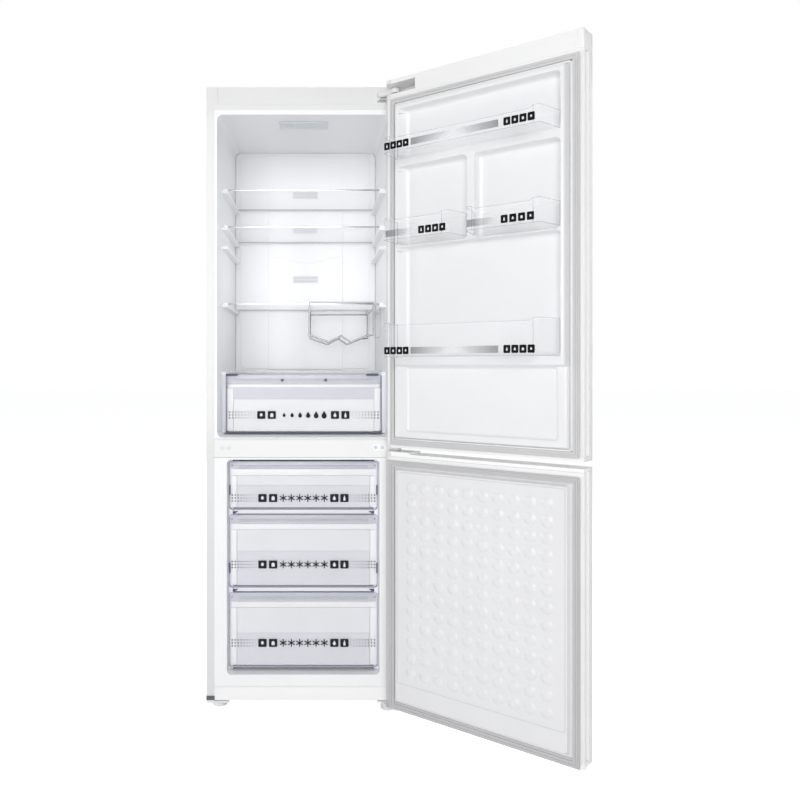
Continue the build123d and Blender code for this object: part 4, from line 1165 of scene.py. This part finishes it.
    def rims(self) -> None:
        """The tinted edge round the plate, deeper in colour along its bottom."""
        x, y, z0, z1, radius = self.x, self.y - 1.7, self.z0, self.z1, self.turn
        ring = [(px, y, pz) for px, pz in rounded(-x + 1.2, x - 1.2, z0 + 1.2, z1 - 1.2, radius)]
        rim = wire(self.name("rim"), ring, 1.2, True, 2)
        self.put(rim, Finishes.PALE_EDGE if self.frosty else Finishes.CLEAR_EDGE)
        line = rounded(-x + 2.0, x - 2.0, z0 + 2.4, z1, radius)
        lower_left, lower_right = line[22:], line[:6]
        low = [(px, y + 0.2, pz) for px, pz in lower_left + lower_right]
        edge = wire(self.name("bottom_edge"), low, 1.9 if self.frosty else 2.5, False, 2)
        self.put(edge, Finishes.CLEAR_EDGE if self.frosty else Finishes.CLEAR_DEEP)

    def tub_edges(self) -> None:
        """The tub's turned rim and the thick lines of its floor, seen through the plate."""
        low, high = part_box(self.body + "_tub")
        x, z1 = high.x / MM, high.z / MM
        y0, y1, z0 = low.y / MM - FRONT_Y, high.y / MM - FRONT_Y, self.z0 + 8
        ring = [(px, py, z1 + 0.4) for px, py in rounded(-x + 1.2, x - 1.2, y0 + 1.2, y1 - 1.2, 13)]
        self.put(wire(self.name("tub_rim"), ring, 1.5, True, 2), Finishes.CLEAR_EDGE, "tub_plastic")
        floor = [(px, py, z0 + 3.2) for px, py in rounded(-x + 9.5, x - 9.5, y0 + 8, y1 - 8, 11)]
        self.put(wire(self.name("tub_floor_line"), floor, 0.9, True, 1), Finishes.CLEAR_EDGE, "tub_plastic")

    def label(self) -> None:
        """Squares, dots and the row of plain marks on the plate's face."""
        label, z = Label(self.y - self.thick, -1.0), self.label_z
        plates, marks = label.squares(self.name("label"), self.squares, z, self.square, self.glyph)
        dense, thin = self.dots
        left = label.dots(self.name("label_dots_left"), -dense, -thin, z)
        right = label.dots(self.name("label_dots_right"), dense, thin, z)
        row = label.stars if self.frosty else label.drops
        middle = row(self.name("label_row"), *self.row, z, self.row_size, self.row_count)
        for piece, finish in ((plates, Finishes.INK_SOFT), (marks, Finishes.MARK), (left, Finishes.DOTS),
                              (right, Finishes.DOTS), (middle, Finishes.INK_SOFT)):
            self.put(piece, finish)


# ------------------------------------------------------------------ doors
@dataclass
class DoorBin:
    """A clear bin on the upper door: rounded corners, taller ends, and a printed strip.

    Attributes:
        node: the bin's CAD node.
        body: the bin's CAD body.
        ends: X of its left and right end against the door, at its shoulder and at its front.
        squares: X of the middles of the dark squares.
        hatches: pairs of X, from the dense to the thin end of each hatched strip.
        depths: distance of those three lines from the door's back.
        wall: thickness of its walls and floor.
        dip: how much lower the front is between its ends.
        corner: rounding of its front corners.
        brim: how far the tinted edge lies under the top.
        square: width and height of a dark square.
        glyph: height of the marks on the squares.
        hatch_height: height of the hatched strips.
        print_rise: height of the printed strip's middle over the floor.
    """

    node: str
    body: str
    ends: Tuple[Flat, ...] = ((-248, 210), (-248, 232), (-229, 229))
    squares: Tuple[float, ...] = (-204.8, -183.6, -162.5, -141.3, 154.7, 175.0, 195.3, 215.6)
    hatches: Tuple[Flat, ...] = ((-118, 5), (139, 15))
    depths: Point = (4.5, 32.0, 112.0)
    wall: float = 2.2
    dip: float = 7.5
    corner: float = 9.0
    brim: float = 1.2
    square: Flat = (18.5, 20.5)
    glyph: float = 11.0
    hatch_height: float = 18.5
    print_rise: float = 18.0

    def outline(self, inset: float) -> List[Flat]:
        """Plan of the bin, with rounded front corners.

        Args:
            inset: how far it is drawn in, in millimetres.

        Returns:
            Its points in X and Y, from the left end against the door.
        """
        y0, y1, y2 = (DOOR_BACK + v for v in self.depths)
        (l0, r0), (l1, r1), (l2, r2) = [(a + inset, b - inset) for a, b in self.ends]
        y0, y2, radius = y0 + inset, y2 - inset, self.corner - inset
        return ([(l0, y0), (r0, y0), (r1, y1)] + arc((r2 - radius, y2 - radius), radius, 10, 90, 6)
                + arc((l2 + radius, y2 - radius), radius, 90, 166, 6) + [(l1, y1)])

    def build(self) -> None:
        """Make the bin in place of its CAD node."""
        low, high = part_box(self.node)
        z0, z1 = low.z / MM, high.z / MM
        shell = prism(self.node + "_shell", [(x, y, z0) for x, y in self.outline(0.0)], (0, 0, z1 - z0))
        room = prism("room", [(x, y, z0 + self.wall) for x, y in self.outline(self.wall)], (0, 0, z1 - z0))
        y2 = DOOR_BACK + self.depths[2]
        mouth = prism("mouth", [(x, y2 - 12, z) for x, z in self.mouth(z1)], (0, 30, 0))
        cut(shell, [room, mouth])
        bevel(shell, 0.5, 2, 50.0)
        shell.visible_shadow = False
        fit(shell, Finishes.BIN, self.body, True)
        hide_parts(self.node)
        self.rims(z0, z1)
        self.print_strip(y2, z0)

    def mouth(self, z1: float) -> List[Flat]:
        """Front view of the cutter that lowers the brim between the bin's ends.

        Args:
            z1: height of the bin's top in millimetres.

        Returns:
            Its points in X and Z, in order.
        """
        a, b, low = self.ends[2][0] + 22, self.ends[2][1] - 22, z1 - self.dip
        return [(a - 8, z1 + 4), (a - 4, z1 - 1), (a + 4, low + 1), (a + 14, low),
                (b - 14, low), (b - 4, low + 1), (b + 4, z1 - 1), (b + 8, z1 + 4)]

    def rims(self, z0: float, z1: float) -> None:
        """Thin tinted edges where the moulding is thickest: round the floor, the brim and the end pieces.

        Args:
            z0: height of the bin's floor in millimetres.
            z1: height of its top in millimetres.
        """
        y1, y2 = DOOR_BACK + self.depths[1], DOOR_BACK + self.depths[2]
        base = wire("rim", [(x, y, z0 + 0.9) for x, y in self.outline(0.8)], 0.8, True, 1)
        high, low = z1 - self.brim, z1 - self.dip
        brim = [(x, y, high) for x, y in self.outline(1.0)]
        a, b = self.ends[2][0] + 20, self.ends[2][1] - 20
        middle = [(b, y2 - 1, high), (b - 10, y2 - 1, low), (a + 10, y2 - 1, low), (a, y2 - 1, high)]
        right_end, left_end = brim[2:10], brim[10:] + brim[:1]
        top = wire("rim", right_end + middle + left_end, 0.7, False, 1)
        upright = box("seam", (-0.5, y2 - 2.6, z0 + 1), (0.5, y2 - 0.6, z1 - 1))
        seams = repeat("seams", upright, [(x, 0, 0, 1, 1) for x in (a, b)])
        corner = box("seam", (-0.5, y1 - 1, z0 + 1), (0.5, y1 + 0.4, z1 - 1))
        left, right = self.ends[1]
        corners = repeat("seams", corner, [(x, 0, 0, 1, 1) for x in (left + 1, right - 1)])
        edges = join(self.node + "_edges", [base, top, seams, corners])
        fit(edges, Finishes.BIN_EDGE, self.body, True)

    def print_strip(self, y: float, z0: float) -> None:
        """The dark squares and the hatched strips on the bin's front.

        Args:
            y: depth of the front's face in millimetres.
            z0: height of the bin's floor in millimetres.
        """
        label, z = Label(y, 1.0), z0 + self.print_rise
        plates, marks = label.squares(self.node, self.squares, z, self.square, self.glyph)
        strips = [label.hatch("hatch", a, b, z, self.hatch_height) for a, b in self.hatches]
        hatch = join(self.node + "_hatch", strips)
        for piece, finish in ((plates, Finishes.INK), (marks, Finishes.MARK), (hatch, Finishes.HATCH)):
            fit(piece, finish, self.body, True)


@dataclass
class Door:
    """What the two doors share: the raised strips outside the gasket, and a liner.

    Attributes:
        body: the door's CAD body.
        span: lowest and highest height of the strips at its sides, in millimetres.
        strip_top: lowest and highest height of the strip along its top.
        free_edge: X of the strip along the free side of the shut door, outside and inside.
        hinge_edge: X of the strip along the hinge side, inside and outside.
    """

    body: str
    span: Flat
    strip_top: Flat
    free_edge: Flat = (-294.5, -288)
    hinge_edge: Flat = (276, 284)

    def build(self) -> None:
        """Make the shared strips and the door's own liner."""
        self.strips()
        self.liner()

    def strip(self, across: Flat, up: Flat) -> Piece:
        """One raised strip, from its lowest and highest X and Z."""
        return box("strip", (across[0], DOOR_BACK - 0.5, up[0]), (across[1], DOOR_BACK + 1.6, up[1]), 0.8, 2)

    def strips(self) -> None:
        """Raised strips outside the gasket, over it and along both sides."""
        bars = [self.strip((self.free_edge[0], self.hinge_edge[1]), self.strip_top),
                self.strip(self.free_edge, self.span), self.strip(self.hinge_edge, self.span)]
        fit(join(self.body + "_strips", bars), Finishes.EDGE, self.body, True)

    def liner(self) -> None:
        """The door's inner face, which each door has its own of."""


@dataclass
class UpperDoor(Door):
    """The fridge door: liner with pillars and recesses, cap corner and bins.

    Attributes:
        bins: the bins that hang on it.
        sheet: X and Z of the liner's flat sheet, from its lowest to its highest corner.
        form: X of the raised forms on it, left and right.
        recess: X of the recesses in the upper form, left and right.
        pillar: half the width of the pillar between the two small recesses.
        form_depth: how far the upper form stands off the door.
        low_depth: how far the lower form stands off the door.
        flare: how much further in the recesses' right ends lie than their mouths.
        lip: X and Z of the gasket's lip, from its lowest to its highest corner.
    """

    bins: List[DoorBin] = field(default_factory=list)
    sheet: Tuple[Flat, Flat] = ((-280.2, 832.4), (274.7, 1858.6))
    form: Flat = (-263, 258.5)
    recess: Flat = (-250.5, 255.0)
    pillar: float = 8
    form_depth: float = 32
    low_depth: float = 14
    flare: float = 43
    lip: Tuple[Flat, Flat] = ((-271.2, 843.2), (259.0, 1833.8))

    def liner(self) -> None:
        """The moulded liner with soft edges, the gasket's lip and the cap's corner."""
        back, top = DOOR_BACK, DOOR_BACK + 60
        (x0, z0), (x1, z1) = self.sheet
        sheet = box("sheet", (x0, back - 2, z0), (x1, back, z1))
        upper, lower = self.forms()
        floor, (left, right), middle = back + 2.5, self.recess, self.pillar
        cutters = [pocket((left, floor, 1657.7), (right, top, 1808), 5, 12, self.flare),
                   pocket((left, floor, 1405), (-middle, top, 1640), 5, 12),
                   pocket((middle, floor, 1405), (right, top, 1640), 5, 12, self.flare),
                   pocket((left, floor, 1084.7), (right, top, 1406.5), 5, 12, self.flare)]
        cut(upper, cutters)
        cut(lower, [pocket((-238, back + 5, 866), (218, top, 1061), 4, 9)])
        for part in (upper, lower):
            bevel(part, 4.0, 3, 50.0)
        piece = join("upper_door_liner_form", [sheet, upper, lower])
        fit(smooth(piece), Finishes.LINER, self.body, True)
        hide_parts("upper_door_liner")
        self.gasket_lip()
        corner = box("upper_door_cap_corner", (-297.0, -68, 1861), (-275.5, -8.7, 1910.3), 2.5, 3)
        fit(corner, Finishes.EDGE, self.body, True)

    def forms(self) -> Tuple[Piece, Piece]:
        """The two raised forms before their recesses are cut.

        Returns:
            The tall upper form and the shallow lower one.
        """
        back, (left, right) = DOOR_BACK, self.form
        high, low = back + self.form_depth, back + self.low_depth
        upper = box("upper", (left, back - 0.5, 1054), (right, high, 1828))
        draft(upper, high, (0.955, 0.9767), -5.75)
        lower = draft(box("lower", (left, back - 0.5, 848), (right, low, 1078)), low, (0.976, 0.97))
        bevel(upper, 7.0, 4, 60.0)
        bevel(lower, 5.0, 4, 60.0)
        return upper, lower

    def gasket_lip(self) -> None:
        """The lip inside the gasket: at the free side, over the liner and under it."""
        (x0, z0), (x1, z1) = self.lip
        low, high = DOOR_BACK - 0.3, DOOR_BACK + 4.5
        lips = [box("lip", (x0, low, z0), (x0 + 7.8, high, z1), 1.0, 2),
                box("lip", (x0, low, z1 - 5.4), (x1, high, z1), 1.0, 2),
                box("lip", (x0, low, z0), (x1, high, z0 + 4.4), 1.0, 2)]
        fit(join("upper_gasket_lip", lips), Finishes.LINER, self.body, True)

    def build(self) -> None:
        """Make the door and its bins."""
        super().build()
        for one in self.bins:
            one.build()


@dataclass
class LowerDoor(Door):
    """The freezer door: a bead round the grid of domes, and a wide grey border at the hinge and the bottom.

    Attributes:
        bead: X and Z of the bead, from its lowest to its highest corner.
        bead_depth: how far the panel that carries it stands off the door.
        flat: how much of the bead's roundness stands out, as a share.
    """

    bead: Tuple[Flat, Flat] = ((-252, 131), (246, 749))
    bead_depth: float = 9.5
    flat: float = 0.3

    def strips(self) -> None:
        """Raised strips over the gasket and along the free side, and the gasket's grey border elsewhere."""
        bars = [self.strip((self.free_edge[0], self.hinge_edge[1]), self.strip_top),
                self.strip(self.free_edge, self.span)]
        fit(join(self.body + "_strips", bars), Finishes.EDGE, self.body, True)
        low, high, floor, right = DOOR_BACK - 0.3, DOOR_BACK + 4.6, 46, 288
        border = [box("border", (275.2, low, floor), (right, high, self.span[1]), 1.5, 3),
                  box("border", (-287, low, floor), (right, high, 69.5), 1.5, 3)]
        fit(join(self.body + "_gasket_border", border), Finishes.GASKET_DEEP, self.body, True)

    def liner(self) -> None:
        """The bead round the domes, flattened against the panel."""
        y = DOOR_BACK + self.bead_depth
        (x0, z0), (x1, z1) = self.bead
        bead = wire("lower_door_bead", [(x, y - 0.1, z) for x, z in rounded(x0, x1, z0, z1, 6)], 1.7, True)
        level = Matrix.Translation((0, (y + FRONT_Y) * MM, 0))
        bead.data.transform(level @ Matrix.Diagonal((1, self.flat, 1, 1)) @ level.inverted())
        fit(bead, Finishes.BEAD, self.body, True)


# ------------------------------------------------------------------ hinges
@dataclass
class Hinges:
    """The top hinge's cover, the bush between the doors and the dark tab at the lower left.

    Attributes:
        arm: plan of the cover's arm in X and Y.
        arm_z: height of the arm's lower side in millimetres.
        arm_height: how high the arm is.
        hood: front view of the cover's hood in X and Z.
        hood_y: depth of the hood's back.
        hood_depth: how far it reaches forward from there.
        bush: X and Y of the bush between the doors.
        bush_z: its lowest and highest height.
    """

    arm: Tuple[Flat, ...] = ((227, -3.6), (268, -3.6), (291, -42), (290, -52), (284, -58), (275, -58),
                             (269, -52), (262, -40), (246, -24), (227, -18))
    arm_z: float = 1880.5
    arm_height: float = 16.3
    hood: Tuple[Flat, ...] = ((227, 1871), (229, 1871), (233, 1876), (240, 1881), (250, 1886), (258, 1889),
                              (268, 1891), (268, 1914), (258, 1914), (248, 1912), (238, 1907), (231, 1902),
                              (227, 1896))
    hood_y: float = -3.4
    hood_depth: float = 5.0
    bush: Flat = (287, -46)
    bush_z: Flat = (806.6, 817.4)

    def build(self) -> None:
        """Make the cover in place of its CAD node, the bush and the tab."""
        arm = prism("arm", [(x, y, self.arm_z) for x, y in self.arm], (0, 0, self.arm_height), 4.5, 4)
        hood = prism("hood", [(x, self.hood_y, z) for x, z in self.hood], (0, -self.hood_depth, 0), 1.6, 3)
        cover = join("top_hinge_arch", [arm, hood])
        fit(cover, Finishes.TRIM, "cabinet")
        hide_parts("top_hinge_cover")
        start, end = [(*self.bush, z) for z in self.bush_z]
        fit(bar("middle_hinge_bush", start, end, 9.6, 32, 1.6), Finishes.TRIM, "cabinet")
        dark = box("corner_dark_tab", (-297.3, -4.0, 34.5), (-272, -2.6, 47.8), 0.5, 1)
        fit(dark, Finishes.DARK, "cabinet")


# ------------------------------------------------------------------ stage
@dataclass
class Lamp:
    """One soft square lamp.

    Attributes:
        name: the lamp's name.
        place: where it hangs, in metres.
        aim: what it points at, in metres.
        size: its two sides in metres.
        power: its power in watts.
    """

    name: str
    place: Point
    aim: Point
    size: Flat
    power: float

    def build(self) -> None:
        """Hang the lamp."""
        data = bpy.data.lights.new(self.name, "AREA")
        data.shape = "RECTANGLE"
        data.size, data.size_y = self.size
        data.energy = self.power
        lamp = bpy.data.objects.new(self.name, data)
        lamp.visible_camera = False
        lamp.location = self.place
        lamp.rotation_euler = (Vector(self.aim) - Vector(self.place)).to_track_quat("-Z", "Y").to_euler()
        bpy.context.scene.collection.objects.link(lamp)


@dataclass
class Studio:
    """Floor, soft light and the camera of the photograph.

    Attributes:
        lens: focal length in millimetres.
        sensor: width of the camera's sensor in millimetres.
        eye: the camera's place in metres.
        shift: the camera's shift across and up.
        ambient: strength of the light from all round.
        lift: how far the floor is lifted to white where the camera sees it.
        floor_size: side of the floor in metres.
        floor_drop: how far it lies under the object's feet in metres.
        lamps: the lamps: in front, overhead, behind, at both sides, and the soft ones inside the fridge.
    """

    lens: float = 34.03
    sensor: float = 36.0
    eye: Point = (0.0418, -2.624, 1.061)
    shift: Flat = (0.104, -0.0429)
    ambient: float = 0.27
    lift: float = 0.75
    floor_size: float = 60.0
    floor_drop: float = 0.0005
    lamps: Tuple[Lamp, ...] = (
        Lamp("front", (-0.5, -5.4, 1.9), (0.1, -0.2, 1.0), (3.0, 3.0), 154.0),
        Lamp("top", (0.0, 0.0, 5.5), (0.1, -0.2, 1.0), (4.0, 4.0), 26.0),
        Lamp("rear", (-1.5, 5.2, 2.0), (0.1, -0.2, 1.0), (3.0, 3.0), 60.0),
        Lamp("left", (-5.0, 0.5, 1.4), (0.3, -0.4, 1.0), (2.0, 2.0), 58.0),
        Lamp("right", (5.2, 0.6, 2.0), (0.1, -0.2, 1.0), (3.0, 3.0), 42.0),
        Lamp("inside_ceiling", (0.0, -0.187, 1.829), (0.0, -0.1, 1.3), (0.14, 0.06), 0.08),
        Lamp("inside_front", (0.0, -0.25, 1.28), (0.0, 0.1, 1.26), (0.40, 0.44), 0.12),
        Lamp("inside_left", (0.0, -0.13, 1.36), (-0.2, -0.13, 1.36), (0.30, 0.62), 0.3),
        Lamp("inside_right", (0.0, -0.13, 1.36), (0.2, -0.13, 1.36), (0.30, 0.62), 0.24))

    def build(self) -> None:
        """Make the camera, the world, the lamps and the floor."""
        self.camera()
        self.world()
        for lamp in self.lamps:
            lamp.build()
        self.floor()

    def camera(self) -> None:
        """The camera looks level along +Y, and its shift gives the photograph's framing."""
        data = bpy.data.cameras.new("camera")
        data.lens = self.lens
        data.sensor_width = self.sensor
        data.shift_x, data.shift_y = self.shift
        camera = bpy.data.objects.new("camera", data)
        camera.location = self.eye
        camera.rotation_euler = (math.pi / 2, 0.0, 0.0)
        bpy.context.scene.collection.objects.link(camera)
        bpy.context.scene.camera = camera

    def world(self) -> None:
        """Even white light, and plain white wherever the camera or a reflection sees past the object."""
        world = bpy.data.worlds.new("studio")
        bpy.context.scene.world = world
        world.use_nodes = True
        tree = world.node_tree
        light, seen, mix = (tree.nodes["Background"], tree.nodes.new("ShaderNodeBackground"),
                            tree.nodes.new("ShaderNodeMixShader"))
        light.inputs["Color"].default_value = (0.975, 0.985, 1.0, 1.0)
        light.inputs["Strength"].default_value = self.ambient
        seen.inputs["Color"].default_value = (1.0, 1.0, 1.0, 1.0)
        tree.links.new(self.seen_directly(tree), mix.inputs["Fac"])
        tree.links.new(light.outputs[0], mix.inputs[1])
        tree.links.new(seen.outputs[0], mix.inputs[2])
        tree.links.new(mix.outputs[0], tree.nodes["World Output"].inputs["Surface"])

    def seen_directly(self, tree: Tree) -> Socket:
        """A test for what is seen, as against what lights the object.

        Args:
            tree: the nodes to add it to.

        Returns:
            A socket that is 1 for camera, glossy and transmission rays, and 0 for light.
        """
        rays, first, both = (tree.nodes.new("ShaderNodeLightPath"), tree.nodes.new("ShaderNodeMath"),
                             tree.nodes.new("ShaderNodeMath"))
        first.operation = both.operation = "MAXIMUM"
        tree.links.new(rays.outputs["Is Camera Ray"], first.inputs[0])
        tree.links.new(rays.outputs["Is Glossy Ray"], first.inputs[1])
        tree.links.new(first.outputs[0], both.inputs[0])
        tree.links.new(rays.outputs["Is Transmission Ray"], both.inputs[1])
        return both.outputs[0]

    def floor(self) -> None:
        """A pale floor under the object, white to the eye where nothing shades it."""
        deselect()
        bpy.ops.mesh.primitive_plane_add(size=self.floor_size, location=(0, 0, -self.floor_drop))
        floor = bpy.context.object
        floor.name = "floor"
        material = bpy.data.materials.new("pale_floor")
        material.use_nodes = True
        tree = material.node_tree
        tree.nodes.remove(tree.nodes["Principled BSDF"])
        plain, glow, both, mix = [tree.nodes.new("ShaderNode" + kind) for kind in
                                  ("BsdfDiffuse", "Emission", "AddShader", "MixShader")]
        plain.inputs["Color"].default_value = (0.9, 0.9, 0.9, 1.0)
        glow.inputs["Strength"].default_value = self.lift
        tree.links.new(plain.outputs[0], both.inputs[0])
        tree.links.new(glow.outputs[0], both.inputs[1])
        tree.links.new(self.seen_directly(tree), mix.inputs["Fac"])
        tree.links.new(plain.outputs[0], mix.inputs[1])
        tree.links.new(both.outputs[0], mix.inputs[2])
        tree.links.new(mix.outputs[0], tree.nodes["Material Output"].inputs["Surface"])
        floor.data.materials.append(material)


# ------------------------------------------------------------------ the whole
def dress_cad() -> None:
    """Give every CAD node the finish of its material slot, or its own."""
    slots = {entry["node"]: entry["material_slot"] for entry in frame["record"]["subparts"]}
    for name, node in frame["nodes"].items():
        dress(node, NODE_FINISH.get(name, CAD_FINISH[slots[name]]))


def main() -> None:
    """Build the assemblies in order, and log each one as it is built."""
    logging.basicConfig(level=logging.INFO, format="%(name)s: %(message)s")
    bpy.context.scene.view_settings.view_transform = "Standard"
    dress_cad()
    parts = {
        "cabinet": Cabinet(),
        "crisper": Drawer("crisper", label_z=903.0, ledge=(1002.0, 989.5), shade=954.0,
                          squares=(-136.5, -102.5, 100.0, 133.5), dots=(238.0, 158.0), frosty=False,
                          rivets=(-68.8, 69.6)),
        "top drawer": Drawer("freezer_drawer_top", label_z=648.0, ledge=(739.0, 717.0), shade=687.0,
                             sides_dark=(658.0, 689.0)),
        "middle drawer": Drawer("freezer_drawer_middle", label_z=440.7, ledge=(567.0, 548.0), shade=482.0,
                                sides_dark=(414.0, 446.0)),
        "bottom drawer": Drawer("freezer_drawer_bottom", label_z=196.0, ledge=(324.0, 305.0), shade=226.0),
        "upper door": UpperDoor("upper_door", span=(832.5, 1850.5), strip_top=(1851.0, 1858.5), bins=[
            DoorBin("door_bin_top", "top_bin"),
            DoorBin("door_bin_right", "right_bin", ends=((10, 210), (10, 232), (24, 229)),
                    squares=(41.3, 62.8, 84.3, 105.8), hatches=((220, 130),)),
            DoorBin("door_bin_left", "left_bin", ends=((-248, -10), (-248, -10), (-229, -24)),
                    squares=(-203.0, -180.0, -157.0, -134.0), hatches=((-31, -115),)),
            DoorBin("door_bin_bottom", "bottom_bin")]),
        "lower door": LowerDoor("lower_door", span=(59.5, 780.5), strip_top=(781.5, 791.5)),
        "hinges": Hinges(),
        "studio": Studio(),
    }
    for name, part in parts.items():
        part.build()
        LOG.info("%s built", name)


if __name__ == "__main__":
    main()
